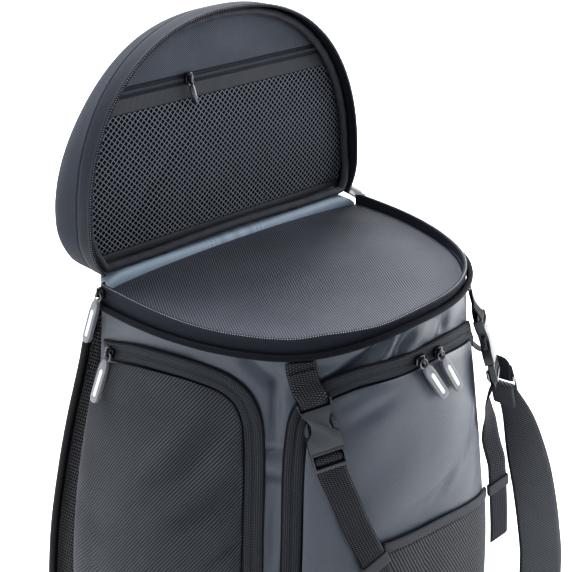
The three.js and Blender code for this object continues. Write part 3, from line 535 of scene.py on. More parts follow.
def newTree(name, kind, inputs, outputs):
    tree = bpy.data.node_groups.new(name, kind)
    for way, sockets in (("INPUT", inputs), ("OUTPUT", outputs)):
        for label, what in sockets.items():
            tree.interface.new_socket(label, in_out=way, socket_type="NodeSocket" + what)
    return tree, tree.nodes.new("NodeGroupInput"), tree.nodes.new("NodeGroupOutput")


def makeRowTree():
    tree, start, end = newTree("rowOfPieces", "GeometryNodeTree", {
        "Geometry": "Geometry", "Spacing": "Float", "Length": "Float", "Width": "Float", "Height": "Float",
        "Detail": "Int", "Finish": "Material"}, {"Geometry": "Geometry"})
    line = newNode(tree, "GeometryNodeMeshToCurve")
    steps = newNode(tree, "GeometryNodeResampleCurve", mode="LENGTH")
    bead = newNode(tree, "GeometryNodeMeshIcoSphere", {"Radius": 0.5})
    soft = newNode(tree, "GeometryNodeSetShadeSmooth")
    tangent = newNode(tree, "GeometryNodeInputTangent")
    outward = newNode(tree, "GeometryNodeInputNamedAttribute", {"Name": "outward"}, data_type="FLOAT_VECTOR")
    turnX = newNode(tree, "FunctionNodeAlignRotationToVector", axis="X")
    turnZ = newNode(tree, "FunctionNodeAlignRotationToVector", axis="Z", pivot_axis="X")
    size = newNode(tree, "ShaderNodeCombineXYZ")
    place = newNode(tree, "GeometryNodeInstanceOnPoints")
    real = newNode(tree, "GeometryNodeRealizeInstances")
    finish = newNode(tree, "GeometryNodeSetMaterial")
    wired(tree, [
        (start, "Geometry", line, 0), (line, 0, steps, "Curve"), (start, "Spacing", steps, "Length"),
        (start, "Detail", bead, "Subdivisions"), (bead, "Mesh", soft, 0),
        (tangent, 0, turnX, "Vector"), (turnX, 0, turnZ, "Rotation"), (outward, "Attribute", turnZ, "Vector"),
        (start, "Length", size, "X"), (start, "Width", size, "Y"), (start, "Height", size, "Z"),
        (steps, 0, place, "Points"), (soft, 0, place, "Instance"),
        (turnZ, 0, place, "Rotation"), (size, 0, place, "Scale"),
        (place, 0, real, 0), (real, 0, finish, "Geometry"), (start, "Finish", finish, "Material"),
        (finish, 0, end, 0)])
    return tree


def makeStrandTree():
    tree, start, end = newTree("netStrands", "GeometryNodeTree", {
        "Geometry": "Geometry", "Radius": "Float", "Sides": "Int", "Finish": "Material"}, {"Geometry": "Geometry"})
    line = newNode(tree, "GeometryNodeMeshToCurve")
    ring = newNode(tree, "GeometryNodeCurvePrimitiveCircle")
    strand = newNode(tree, "GeometryNodeCurveToMesh", {"Fill Caps": True})
    soft = newNode(tree, "GeometryNodeSetShadeSmooth")
    real = newNode(tree, "GeometryNodeRealizeInstances")
    finish = newNode(tree, "GeometryNodeSetMaterial")
    wired(tree, [
        (start, "Geometry", line, 0), (line, 0, strand, "Curve"),
        (start, "Sides", ring, "Resolution"), (start, "Radius", ring, "Radius"), (ring, 0, strand, "Profile Curve"),
        (strand, 0, soft, 0), (soft, 0, real, 0), (real, 0, finish, "Geometry"),
        (start, "Finish", finish, "Material"), (finish, 0, end, 0)])
    return tree


rowTree, strandTree = makeRowTree(), makeStrandTree()


def linesMesh(lines):  # each line has its points and the way out
    points, edges, outward = [], [], []
    for path, out in lines:
        first = len(points)
        points += (np.asarray(path) * mm).tolist()
        outward += np.broadcast_to(out, np.shape(path)).tolist()
        edges += [(first + k, first + k + 1) for k in range(len(path) - 1)]
    mesh = bpy.data.meshes.new("lines")
    mesh.from_pydata(points, edges, [])
    layer = mesh.attributes.new("outward", "FLOAT_VECTOR", "POINT")
    layer.data.foreach_set("vector", np.ravel(outward).astype(np.float32))
    return mesh


def addGrown(name, lines, tree, values, finish, slot, *nodes):  # lines turned into small solids by a tree
    obj = linked(name + "Lines", linesMesh(lines))
    grow = obj.modifiers.new(tree.name, "NODES")
    grow.node_group = tree
    sockets = {item.name: item.identifier for item in tree.interface.items_tree if item.in_out == "INPUT"}
    for label, value in {**values, "Finish": finishes[finish]}.items():
        grow[sockets[label]] = value
    return addPiece(name, evaluated(obj), finish, slot, *nodes)


def addRow(name, lines, sizes, detail, finish, slot):  # sizes: spacing, length, width and height
    values = {label: size * mm for label, size in zip(("Spacing", "Length", "Width", "Height"), sizes)}
    addGrown(name, lines, rowTree, {**values, "Detail": detail}, finish, slot)


def addStrands(name, lines, radius, sides, finish, slot, *nodes):
    addGrown(name, lines, strandTree, {"Radius": radius * mm, "Sides": sides}, finish, slot, *nodes)


# Shared surface effects: weave, ribs, tape, net and tone, each a shader group
class sums:  # short way to write shader arithmetic
    def __init__(self, tree):
        self.tree = tree

    def do(self, what, *values):
        node = newNode(self.tree, "ShaderNodeMath", operation=what)
        for socket, value in zip(node.inputs, values):
            if isinstance(value, (int, float)):
                socket.default_value = value
            else:
                self.tree.links.new(value, socket)
        return node.outputs[0]

    def mul(self, a, b):
        return self.do("MULTIPLY", a, b)

    def add(self, a, b):
        return self.do("ADD", a, b)

    def sub(self, a, b):
        return self.do("SUBTRACT", a, b)

    def odd(self, x):  # 1 where the whole number under x is odd
        return self.do("FLOORED_MODULO", self.do("FLOOR", x), 2)

    def arch(self, x):  # 0 at each whole number, 1 half way
        return self.do("SINE", self.mul(self.do("FRACT", x), math.pi))

    def blend(self, f, a, b):
        return self.add(a, self.mul(f, self.sub(b, a)))


threads = {  # slope and least height of crossing threads, nubs in a pitch, and the edge of a hole
    "weave": (0.5, 0.5), "tape": (0.55, 0.45), "nubs": 1.9, "ridge": 0.8, "hole": (0.75, 0.5),
}


def weaveHeight(m, x, y):
    checker = m.do("FLOORED_MODULO", m.add(m.do("FLOOR", x), m.do("FLOOR", y)), 2)
    warp = m.mul(m.arch(x), m.do("MULTIPLY_ADD", m.arch(y), *threads["weave"]))
    weft = m.mul(m.arch(y), m.do("MULTIPLY_ADD", m.arch(x), *threads["weave"]))
    return m.blend(checker, warp, weft)


def ribHeight(m, x, y, nub):
    nubs = m.arch(m.add(m.mul(y, threads["nubs"]), m.mul(m.do("FLOOR", x), 0.5)))
    ridge = m.do("POWER", m.arch(x), threads["ridge"])
    return m.mul(ridge, m.sub(1.0, m.mul(m.sub(1.0, nubs), nub)))


def tapeHeight(m, x, y, column):
    columns = m.do("DIVIDE", x, column)
    shifted = m.add(y, m.mul(m.odd(columns), 0.5))
    return m.mul(m.arch(shifted), m.do("MULTIPLY_ADD", m.arch(columns), *threads["tape"]))


def netHeight(m, x, y, hole):
    shifted = m.add(x, m.mul(m.odd(y), 0.5))
    dx, dy = m.sub(m.do("FRACT", shifted), 0.5), m.sub(m.do("FRACT", y), 0.5)
    far = m.do("SQRT", m.add(m.mul(dx, dx), m.mul(dy, dy)))
    edge, (start, wide) = m.mul(hole, 0.5), threads["hole"]
    slope = m.do("DIVIDE", m.sub(far, m.mul(edge, start)), m.mul(edge, wide))
    return m.do("MINIMUM", m.do("MAXIMUM", slope, 0.0), 1.0)


def clothUv(tree):
    return newNode(tree, "ShaderNodeUVMap", uv_map="cloth").outputs["UV"]


def makePattern(name, height, *more):  # cloth coordinates, turned and counted in pitches
    labels = ("Pitch", "Turn", *more)
    tree, start, end = newTree(name, "ShaderNodeTree", dict.fromkeys(labels, "Float"), {"Height": "Float"})
    turn = newNode(tree, "ShaderNodeVectorRotate", rotation_type="Z_AXIS")
    split = newNode(tree, "ShaderNodeSeparateXYZ")
    tree.links.new(clothUv(tree), turn.inputs["Vector"])
    wired(tree, [(start, "Turn", turn, "Angle"), (turn, "Vector", split, 0)])
    m = sums(tree)
    x, y = (m.do("DIVIDE", split.outputs[axis], start.outputs["Pitch"]) for axis in "XY")
    tree.links.new(height(m, x, y, *[start.outputs[label] for label in more]), end.inputs["Height"])
    return tree


def makeTone():  # broad unevenness of cloth and plastic
    tree, start, end = newTree("unevenTone", "ShaderNodeTree", {"Size": "Float", "Amount": "Float"}, {"Tone": "Float"})
    place = newNode(tree, "ShaderNodeTexCoord")
    noise = newNode(tree, "ShaderNodeTexNoise", {"Detail": 4})
    m = sums(tree)
    tree.links.new(place.outputs["Object"], noise.inputs["Vector"])
    tree.links.new(m.do("DIVIDE", 1.0, start.outputs["Size"]), noise.inputs["Scale"])
    centred = m.mul(m.sub(noise.outputs["Fac"], 0.5), start.outputs["Amount"])
    tree.links.new(m.add(1.0, m.mul(centred, 2.0)), end.inputs["Tone"])
    return tree


patterns = {
    "weave": makePattern("plainWeave", weaveHeight), "ribs": makePattern("ribbedTwill", ribHeight, "Nub"),
    "tape": makePattern("wovenTape", tapeHeight, "Column"), "net": makePattern("roundHoles", netHeight, "Hole"),
}
toneGroup = makeTone()
clothPlain = {"turn": 0, "nub": 0.3, "crisp": 1.5, "uneven": 0.15, "patch": 60, "sheen": 0.0, "sheenRough": 0.4}
hardPlain = {"metal": 0.0, "gloss": 0.5, "uneven": 0.2, "patch": 12, "relief": 0.05}
lining = {"shift": 10, "from": 5.0}  # a lining face has its cloth coordinates moved this far, in metres; past from, a look's inside value paints it darker as painted shade


def newPaint(name, look, low, high, shader):  # two colours to blend, an uneven tone and a bump
    paint = bpy.data.materials.new(name)
    paint.use_nodes = True
    tree = paint.node_tree
    shade = tree.nodes["Principled BSDF"]
    for label, value in shader.items():
        shade.inputs[label].default_value = value
    spread = {"Size": look["patch"] * mm, "Amount": look["uneven"]}
    tone = newNode(tree, "ShaderNodeGroup", spread, node_tree=toneGroup)
    colour = newNode(tree, "ShaderNodeMix", {"A": (*look[low], 1), "B": (*look[high], 1)}, data_type="RGBA")
    bump = newNode(tree, "ShaderNodeBump", {"Distance": look["relief"] * mm})
    wired(tree, [(colour, "Result", shade, "Base Color"), (bump, "Normal", shade, "Normal")])
    return paint, sums(tree), shade, tone.outputs["Tone"], colour.inputs["Factor"], bump.inputs["Height"]


def clothFinish(name, look):  # threads over gaps, tone over all, bump from the threads; the dark gap colour is partly the weave's own pattern and partly painted shade between the threads
    look = {**clothPlain, **look}
    paint, m, _, tone, factor, bump = newPaint(name, look, "gap", "thread", {
        "Roughness": look["rough"], "Specular IOR Level": look["gloss"],
        "Sheen Weight": look["sheen"], "Sheen Roughness": look["sheenRough"]})
    pattern = newNode(m.tree, "ShaderNodeGroup", node_tree=patterns[look["pattern"]])
    units = {"Pitch": mm, "Turn": math.pi / 180}
    for socket in pattern.inputs:
        socket.default_value = look[socket.name.lower()] * units.get(socket.name, 1)
    height = pattern.outputs["Height"]
    mask = m.mul(m.do("POWER", height, look["crisp"]), tone)
    # the lid shell's lining face is painted darker here: painted shade for the hollow inside the lid, seen through the
    # net
    if "inside" in look:
        split = newNode(m.tree, "ShaderNodeSeparateXYZ")
        m.tree.links.new(clothUv(m.tree), split.inputs[0])
        mask = m.mul(mask, m.blend(m.do("GREATER_THAN", split.outputs["X"], lining["from"]), 1.0, look["inside"]))
    m.tree.links.new(mask, factor)
    m.tree.links.new(height, bump)
    return paint


def hardFinish(name, look):  # moulded, cast or spun: fine grain and uneven tone on object coordinates
    look = {**hardPlain, **look}
    paint, m, shade, tone, factor, bump = newPaint(name, look, "dark", "light", {
        "Metallic": look["metal"], "Specular IOR Level": look["gloss"]})
    place = newNode(m.tree, "ShaderNodeTexCoord")
    noise = newNode(m.tree, "ShaderNodeTexNoise", {"Scale": 1 / (look["grain"] * mm), "Detail": 3})
    m.tree.links.new(place.outputs["Object"], noise.inputs["Vector"])
    grain = noise.outputs["Fac"]
    low, high = look["rough"]
    m.tree.links.new(m.mul(grain, tone), factor)
    m.tree.links.new(m.do("MULTIPLY_ADD", grain, high - low, low), shade.inputs["Roughness"])
    m.tree.links.new(grain, bump)
    return paint


# Finishes: pitches, patches, grains and reliefs in millimetres, colours linear
# the very dark gap colours are partly the weave's own pattern and partly painted shade between threads, which the bump
# does not cast
clothLooks = {
    "slateCloth": {
        "pattern": "weave", "pitch": 1.5, "turn": 28, "thread": (0.040, 0.055, 0.082), "gap": (0.021, 0.030, 0.047),
        "rough": 0.38, "gloss": 0.85, "relief": 0.12, "uneven": 0.3, "patch": 45, "crisp": 1.0},
    "basketCloth": {
        "pattern": "ribs", "pitch": 2.3, "turn": 38, "thread": (0.112, 0.124, 0.147), "gap": (0.004, 0.005, 0.006),
        "rough": 0.5, "gloss": 0.15, "relief": 0.5, "uneven": 0.3, "nub": 0.7},
    # inside darkens the lid shell's lining face: painted shade inside the lid
    "lidCloth": {
        "pattern": "ribs", "pitch": 1.7, "turn": 78, "thread": (0.060, 0.070, 0.092), "gap": (0.012, 0.014, 0.019),
        "rough": 0.7, "gloss": 0.12, "relief": 0.35, "sheen": 0.08, "inside": 0.08},
    "deckCloth": {
        "pattern": "ribs", "pitch": 2.2, "turn": 29, "thread": (0.150, 0.160, 0.190), "gap": (0.013, 0.014, 0.018),
        "rough": 0.55, "gloss": 0.28, "relief": 0.3, "uneven": 0.25},
    "liningCloth": {
        "pattern": "ribs", "pitch": 1.6, "turn": 55, "thread": (0.150, 0.167, 0.200), "gap": (0.027, 0.030, 0.038),
        "rough": 0.7, "gloss": 0.15, "relief": 0.3, "uneven": 0.3, "patch": 30},
    "zipTape": {
        "pattern": "tape", "pitch": 1.5, "column": 1.3, "thread": (0.080, 0.089, 0.107), "gap": (0.004, 0.005, 0.006),
        "rough": 0.55, "gloss": 0.12, "relief": 0.3, "crisp": 1.3},
    "rimTape": {
        "pattern": "tape", "pitch": 1.2, "column": 1.2, "thread": (0.052, 0.060, 0.078), "gap": (0.014, 0.016, 0.022),
        "rough": 0.6, "gloss": 0.15, "relief": 0.18},
    "pipingCloth": {
        "pattern": "ribs", "pitch": 1.5, "turn": 35, "thread": (0.024, 0.028, 0.036), "gap": (0.003, 0.004, 0.005),
        "rough": 0.6, "gloss": 0.1, "relief": 0.25},
    "blackPiping": {
        "pattern": "weave", "pitch": 0.9, "turn": 45, "thread": (0.016, 0.017, 0.019), "gap": (0.008, 0.008, 0.010),
        "rough": 0.5, "gloss": 0.2, "relief": 0.05},
    "webbing": {
        "pattern": "tape", "pitch": 1.9, "column": 1.3, "thread": (0.100, 0.107, 0.124), "gap": (0.004, 0.004, 0.005),
        "rough": 0.55, "gloss": 0.08, "relief": 0.4},
    "strapTwill": {
        "pattern": "ribs", "pitch": 2.0, "turn": 62, "thread": (0.24, 0.255, 0.285), "gap": (0.010, 0.010, 0.012),
        "rough": 0.6, "gloss": 0.15, "relief": 0.35},
    "grosgrain": {
        "pattern": "ribs", "pitch": 1.3, "thread": (0.115, 0.122, 0.138), "gap": (0.028, 0.030, 0.035),
        "rough": 0.65, "gloss": 0.15, "relief": 0.2},
    "bindingTape": {
        "pattern": "weave", "pitch": 1.0, "turn": 45, "thread": (0.105, 0.112, 0.130), "gap": (0.032, 0.035, 0.042),
        "rough": 0.6, "gloss": 0.18, "relief": 0.15},
    "flapNet": {
        "pattern": "ribs", "pitch": 2.7, "turn": -27, "thread": (0.152, 0.162, 0.182), "gap": (0.003, 0.003, 0.004),
        "rough": 0.5, "gloss": 0.1, "relief": 0.5, "nub": 0.75},
    "spacerNet": {
        "pattern": "net", "pitch": 3.6, "turn": 10, "thread": (0.082, 0.087, 0.098), "gap": (0.003, 0.003, 0.004),
        "rough": 0.6, "gloss": 0.15, "relief": 0.9, "hole": 0.78},
    "paleLining": {
        "pattern": "weave", "pitch": 0.9, "thread": (0.36, 0.43, 0.52), "gap": (0.24, 0.30, 0.37),
        "rough": 0.5, "gloss": 0.35, "relief": 0.08, "uneven": 0.3, "patch": 25},
}
hardLooks = {
    "netThread": {"dark": (0.15, 0.168, 0.205), "light": (0.29, 0.32, 0.38), "rough": (0.45, 0.6), "grain": 0.4,
                  "relief": 0.06},
    # near-black cords beside the zips: painted shadow in the gaps there
    "gapShadowBlack": {"dark": (0.004, 0.004, 0.005), "light": (0.010, 0.010, 0.012), "rough": (0.5, 0.7), "grain": 0.5,
                    "gloss": 0.2},
    "greyThread": {"dark": (0.075, 0.079, 0.090), "light": (0.13, 0.137, 0.155), "rough": (0.5, 0.7), "grain": 0.5},
    "coilNylon": {"dark": (0.20, 0.21, 0.24), "light": (0.62, 0.64, 0.68), "rough": (0.25, 0.4), "grain": 1.2,
                  "gloss": 0.6},
    "blueCoil": {"dark": (0.040, 0.050, 0.066), "light": (0.10, 0.12, 0.15), "rough": (0.3, 0.45), "grain": 1.0},
    "darkCoil": {"dark": (0.020, 0.021, 0.025), "light": (0.055, 0.058, 0.066), "rough": (0.35, 0.5), "grain": 1.0},
    "buckleResin": {"dark": (0.017, 0.021, 0.028), "light": (0.034, 0.042, 0.056), "rough": (0.26, 0.4), "grain": 0.5,
                    "relief": 0.06, "gloss": 0.7},
    "sliderLacquer": {"dark": (0.02, 0.021, 0.024), "light": (0.13, 0.136, 0.148), "rough": (0.12, 0.22), "grain": 0.8,
                      "metal": 0.9},
    "pullRubber": {"dark": (0.15, 0.158, 0.175), "light": (0.25, 0.262, 0.285), "rough": (0.32, 0.45), "grain": 0.4},
    "whiteInsert": {"dark": (0.60, 0.61, 0.63), "light": (0.78, 0.79, 0.80), "rough": (0.25, 0.4), "grain": 0.7},
    "brightSteel": {"dark": (0.55, 0.56, 0.58), "light": (0.72, 0.73, 0.75), "rough": (0.16, 0.28), "grain": 0.6,
                    "metal": 1.0},
}
finishes = {name: clothFinish(name, look) for name, look in clothLooks.items()}
finishes.update({name: hardFinish(name, look) for name, look in hardLooks.items()})
print("finishes made:", len(finishes))


# Main body of coated cloth, with folds in the yoke and creases in the corner strip
bodyCloth = {
    "columns": ((-180, 40), (-64, 170), (46, 44), (180, 0)),  # start and count of each stretch
    "rows": ((3.4, 18), (280, 54), (430, 44), (470.6, 0)),
    "climbFrom": 440, "calmUnderDeck": (5, 1),
    "folds": [
        (-13, 467, 50, 17, 6, 5.5), (-20, 458, 31, 22, 6, 3.2), (-9.2, 467, 62, 13, 5, -3.2),
        (-4.8, 464, 64, 12, 4.5, 4.2), (-0.4, 468, 62, 14, 7, -4.0), (6, 475, 8, 46, 9, 2.0),
        (9.6, 464, 62, 12, 6, 4.4), (-42.5, 386, 4, 18, 3.2, 2.4), (-42, 362, -6, 18, 3.2, 2.4),
        (-42.2, 374, 0, 16, 8, -1.4), (-42.2, 424, 90, 34, 5, 4.2), (-40.6, 312, 90, 40, 5, 3.4),
        (-46, 456, 140, 22, 7, 3.8), (-66, 458, 8, 60, 7, 1.2), (-28, 462, 4, 26, 5, 1.0),
    ],
}


def stepped(rows):
    spans = [np.linspace(a[0], b[0], a[1], endpoint=False) for a, b in zip(rows, rows[1:])]
    return np.concatenate(spans + [[rows[-1][0]]])


def makeBody():
    t, z = stepped(bodyCloth["columns"])[:-1], stepped(bodyCloth["rows"])
    tt, zz = np.meshgrid(t, z)
    zz = zz + seamRise(tt) * share(zz, bodyCloth["climbFrom"], shape["shellTop"])
    low, high = (shape["deckZ"] - under for under in bodyCloth["calmUnderDeck"])
    fold = pressed(bodyCloth["folds"], tt, zz) * (1 - smoothStep(zz, low, high))
    uv = skinUv(*np.meshgrid(np.append(t, 180.0), z))
    outer, inner = skin(tt, zz, fold), skin(tt, zz, fold - shape["clothWall"])
    made = wallMesh(outer, inner, uv, around=True)
    asSheet(addPiece("bodyCloth", made, "slateCloth", "tarp", "body_shell"), wrapped(outer), ["baseCloth"])


makeBody()


# Base and deck: flat outlines of the skin, the deck with its own waves
plate = {"middleY": -20}
deck = {
    "rings": 46, "columns": 220, "scales": (0.985, 0.03), "inset": 2.4, "thick": 1.6, "reach": (165, 120),
    "wave": 3.8, "waveSteps": (38, 60), "sag": 2.0, "ripple": 1.3, "rippleSteps": (21, 33), "rippleStart": 1.2,
    "full": 5, "fullHalf": 150, "fullFrom": (35, 92),
}
base = {
    "columns": 180, "top": 3.0, "upper": (0.999, 0.98, 0.9, 0.7, 0.5, 0.3, 0.2),
    "lower": [(1, 3.0), (1, 1.6), (0.998, 0.8), (0.992, 0.25), (0.985, 0.0), (0.6, 0.0), (0.2, 0.0)],
}


def allRound(count):
    return np.linspace(-180, 180, count, endpoint=False)


def plateRing(t, z, out, scale):
    p = skin(t, z, out)
    return p[..., 0] * scale, lerp(plate["middleY"], p[..., 1], scale)


def makeDeck():
    scales = np.concatenate([[1], np.linspace(*deck["scales"], deck["rings"])])
    x, y = plateRing(*np.meshgrid(allRound(deck["columns"]), shape["deckZ"]), -deck["inset"], scales[:, None])
    (wide, deep), (wx, wy), (rx, ry) = deck["reach"], deck["waveSteps"], deck["rippleSteps"]
    reach = np.maximum(0, 1 - (x / wide) ** 2 - ((y - plate["middleY"]) / deep) ** 2)
    wave = reach * (deck["wave"] * np.sin(x / wx + y / wy) - deck["sag"])
    wave += deck["full"] * np.maximum(0, 1 - (x / deck["fullHalf"]) ** 2) * smoothStep(y, *deck["fullFrom"])
    wave += reach * deck["ripple"] * np.sin(x / rx - y / ry + deck["rippleStart"])
    top = np.stack([x, y, shape["deckZ"] + wave], -1)
    under = top - np.array([0, 0, deck["thick"]])
    uv = np.stack([x, y], -1) * mm
    piece = addPiece("deckCloth", cupMesh(top, under, uv, uv), "deckCloth", "twill", "top_panel")
    spread = top[0].max(0) - top[0].min(0)
    asSheet(piece, wrapped(top), ["bodyCloth"], (spread[0] * mm, spread[1] * mm))


def makeBase():
    t = allRound(base["columns"])

    def ring(scale, z):
        return np.stack([*plateRing(t, shape["shellLow"], 0, scale), np.full(len(t), z)], -1)

    low = np.array([ring(*row) for row in base["lower"]])
    high = np.array([ring(scale, base["top"]) for scale in base["upper"]])
    made = cupMesh(low, high, low[..., :2] * mm, high[..., :2] * mm)
    addPiece("baseCloth", made, "basketCloth", "ballistic", "base_panel")


makeDeck()
makeBase()
print("body, deck and base made")


# Rim: zip tape round the deck with its coil, and the piping under it
rim = {
    "endT": 110, "steps": 300, "waveHigh": 15, "coilSteps": 500, "coil": (2.1, 1.15, 1.2, 1.3), "coilDrop": 0.3,
    "coilOut": 0.1, "coilFace": 486, "pipeSteps": 420, "pipeRadius": 3.0, "pipeSides": 14, "pipeOut": 3.4,
    "profile": [(0.0, 471), (0.25, 473), (0.35, 476), (0.3, 479), (0.1, 482), (0.0, 484.5), (0.1, 486),
                (0.6, 487), (0.9, 488), (0.8, 490)],  # out and height
}


def makeRim():
    t = np.linspace(-rim["endT"], rim["endT"], rim["steps"])
    (tt, out), (_, z) = (np.meshgrid(t, column) for column in np.array(rim["profile"]).T)
    uv = skinUv(tt, z)
    z = z + lerp(seamRise(tt), rimWave(tt), np.clip((z - shape["rimLow"]) / rim["waveHigh"], 0, 1))
    made = wallMesh(skin(tt, z, out), skin(tt, z, -shape["clothWall"]), uv)
    addPiece("rimTape", made, "rimTape", "ziptape", "rim_band")
    t = np.linspace(-rim["endT"], rim["endT"], rim["coilSteps"])
    edge = skin(t, shape["rimTop"] - rim["coilDrop"] + rimWave(t), rim["coilOut"])
    out = skinFrame(t, np.full(len(t), float(rim["coilFace"])))[2]
    addRow("rimCoil", [(edge, out)], rim["coil"], 2, "coilNylon", "ziptape")
    t = allRound(rim["pipeSteps"])
    loop = skin(t, shape["shellTop"] + seamRise(t), rim["pipeOut"])
    pipe = tubeMesh(loop, rim["pipeRadius"], rim["pipeSides"], loop=True)
    addPiece("rimPiping", pipe, "pipingCloth", "piping", "rim_piping")


makeRim()


# Hinge: pale lining strip that turns over from the body to the lid
gusset = {
    "columns": 160, "rows": 26, "half": 67, "thick": 1.3, "inset": -0.2, "endDrop": 9, "dropOver": 20,
    "fadePower": 6, "crease": 0.5, "creaseSteps": (7, 0.3), "creaseSpan": (480, 491.2),
    "profile": [(-0.2, 471.0), (-0.2, 478.5), (-0.2, 486.0), (2.4, 490.4), (12, 491.0), (21.4, 491.2)],
}


def makeGusset():
    t = np.linspace(180 - gusset["half"], 180 + gusset["half"], gusset["columns"])
    fade = (np.abs(t - 180) / gusset["half"]) ** gusset["fadePower"]
    rows = smoothPath(gusset["profile"], gusset["rows"])
    step, lean = gusset["creaseSteps"]
    turnOver = gusset["profile"][3][0]

    def layer(thin):
        grid = []
        for out, z in rows:
            low = skin(t, np.minimum(z, shape["rimTop"]), np.minimum(out, gusset["inset"]) - thin)
            ripple = gusset["crease"] * np.sin(low[:, 0] / step + out * lean) * hump(z, *gusset["creaseSpan"], 1)
            lift = z - gusset["endDrop"] * fade * (z - shape["rimLow"]) / gusset["dropOver"]
            lift = lift + smoothStep(out, 0, turnOver) * (thin - gusset["thick"])
            grid.append(np.stack([low[:, 0], low[:, 1] + max(out, 0) * (1 - fade), lift - np.abs(ripple)], -1))
        return np.array(grid)

    under, over = layer(0.0), layer(gusset["thick"])
    made = wallMesh(over, under, flatUv(t * shape["girthStep"], lengthAlong(rows)))
    asSheet(addPiece("hingeLining", made, "paleLining", "trim", "hinge_gusset"), over, ["bodyCloth", "lidCloth"])


makeGusset()
print("rim and hinge made")


# Lid, standing open: u across, v up from the hinge, deep towards the back
lid = {
    "z": 491.4, "half": 167, "height": 217, "widest": 35, "tuck": 12, "power": 2.24, "centre": (0, 92),
    "archSteps": 200, "tuckSteps": 14, "moreSteps": 40, "hingeSteps": 90,
    "crown": [(20.4, 0, 0), (44, 0, 8), (57, 2, 18), (66, 8, 30), (71, 20, 46), (74, 50, 70)],  # deep, side, top
    "crownSteps": 40, "crownTop": (40, 190), "crownDeep": 75.6, "thinFrom": 50, "closeSteps": 26, "closeTo": 0.04,
    "tape": [(-0.8, 0.0), (-0.95, 1.3), (-0.8, 2.4), (-0.2, 3.4), (0.0, 4.6), (-0.25, 8), (-0.35, 12), (-0.2, 16),
             (0.0, 20)],  # inset and deep
    "coil": (2.1, 1.15, 1.3, 1.2), "coilInset": -0.2, "coilDeep": 0.5,
}
binding = {
    "radius": 4.2, "sides": 16, "steps": 420, "gap": 0.8, "low": 0.6, "deep": (5.4, 12.6), "deepOver": (0, 45),
    "pucker": 0.35, "slack": 0.2, "gathers": (3.1, 23, 40), "sway": 2, "start": 1.0,
}


def lidPoint(u, v, deep):
    u, v, deep = np.broadcast_arrays(u, v, deep)
    return np.stack([u, shape["hingeY"] + deep, lid["z"] + v], -1).astype(float)


def archHalf(v):
    v = np.asarray(v, float)
    low = lid["half"] - lid["tuck"] * (1 - np.minimum(v, lid["widest"]) / lid["widest"]) ** 2
    f = share(v, lid["widest"], lid["height"])
    return np.where(v <= lid["widest"], low, lid["half"] * (1 - f ** lid["power"]) ** (1 / lid["power"]))


def lidArch(count):
    q = np.linspace(1, 0, lid["tuckSteps"], endpoint=False)
    left = np.stack([-lid["half"] + lid["tuck"] * q * q, lid["widest"] * (1 - q)], -1)
    a = np.linspace(np.pi, 0, count)
    rise = np.abs(np.sin(a)) ** (2 / lid["power"])
    top = np.stack([lid["half"] * powered(np.cos(a), 2 / lid["power"]), lerp(lid["widest"], lid["height"], rise)], -1)
    return smoothPath(np.vstack([left, top, left[::-1] * (-1, 1)]), count + lid["moreSteps"])


def pullIn(p, inset):
    d = p - np.array(lid["centre"])
    return np.array(lid["centre"]) + d * (1 - np.asarray(inset) / np.linalg.norm(d, axis=-1))[..., None]


arch = lidArch(lid["archSteps"])
hingeU = np.linspace(arch[-1, 0], arch[0, 0], lid["hingeSteps"])[1:-1]
lidLoop = np.vstack([arch, np.stack([hingeU, np.zeros(len(hingeU))], -1)])


def makeLidShell():
    middle = np.array([0, shape["hingeY"] + lid["crownDeep"], lid["z"] + lid["centre"][1]])
    topward = smoothStep(lidLoop[:, 1], *lid["crownTop"])

    def shell(thin):
        rings = []
        for deep, side, far in smoothPath(lid["crown"], lid["crownSteps"]):
            q = pullIn(lidLoop, lerp(side, far, topward) + thin)
            rings.append(lidPoint(*q.T, deep - (thin if deep > lid["thinFrom"] else 0)))
        last = rings[-1]
        for f in np.linspace(1, lid["closeTo"], lid["closeSteps"])[1:]:
            ring = middle + (last - middle) * f
            ring[:, 1] = lerp(middle[1] - thin, last[:, 1], f * f)
            rings.append(ring)
        return np.array(rings)

    def unrolled(rings):  # cloth coordinates that run out from the middle
        flat = rings[:, :, [0, 2]] - middle[[0, 2]]
        step = np.linalg.norm(np.diff(rings, axis=0), axis=2)
        far = np.vstack([np.cumsum(step[::-1], 0)[::-1], np.zeros((1, rings.shape[1]))])
        return unit(flat) * (far + np.linalg.norm(flat[-1], axis=1))[..., None] * mm

    outer, inner = shell(0), shell(shape["clothWall"])
    # the shifted cloth coordinates of the inner face let it take the painted shade of the lid's hollow
    made = cupMesh(outer, inner, unrolled(outer), unrolled(inner) + lining["shift"])
    addPiece("lidCloth", made, "lidCloth", "ballistic", "lid_shell")


def makeLidRim():
    outer = np.array([lidPoint(*pullIn(arch, inset).T, deep) for inset, deep in lid["tape"]])
    inner = np.array([lidPoint(*pullIn(arch, shape["clothWall"]).T, deep) for _, deep in lid["tape"]])
    made = wallMesh(outer, inner, flatUv(lengthAlong(arch), np.array(lid["tape"])[:, 1]))
    addPiece("lidTape", made, "rimTape", "ziptape", "lid_rim_band")
    way = unit(np.gradient(arch, axis=0))
    out = np.stack([-way[:, 1], np.zeros(len(way)), way[:, 0]], -1)
    edge = lidPoint(*pullIn(arch, lid["coilInset"]).T, lid["coilDeep"])
    addRow("lidCoil", [(edge, out)], lid["coil"], 2, "coilNylon", "ziptape")


def pucker(s, a):  # small gathers along the binding and round it
    fine, broad, twist = binding["gathers"]
    wave = np.sin(s / fine + binding["sway"] * np.sin(s / broad)) * np.cos(a - binding["start"] + s / twist)
    return binding["pucker"] * wave - binding["slack"]


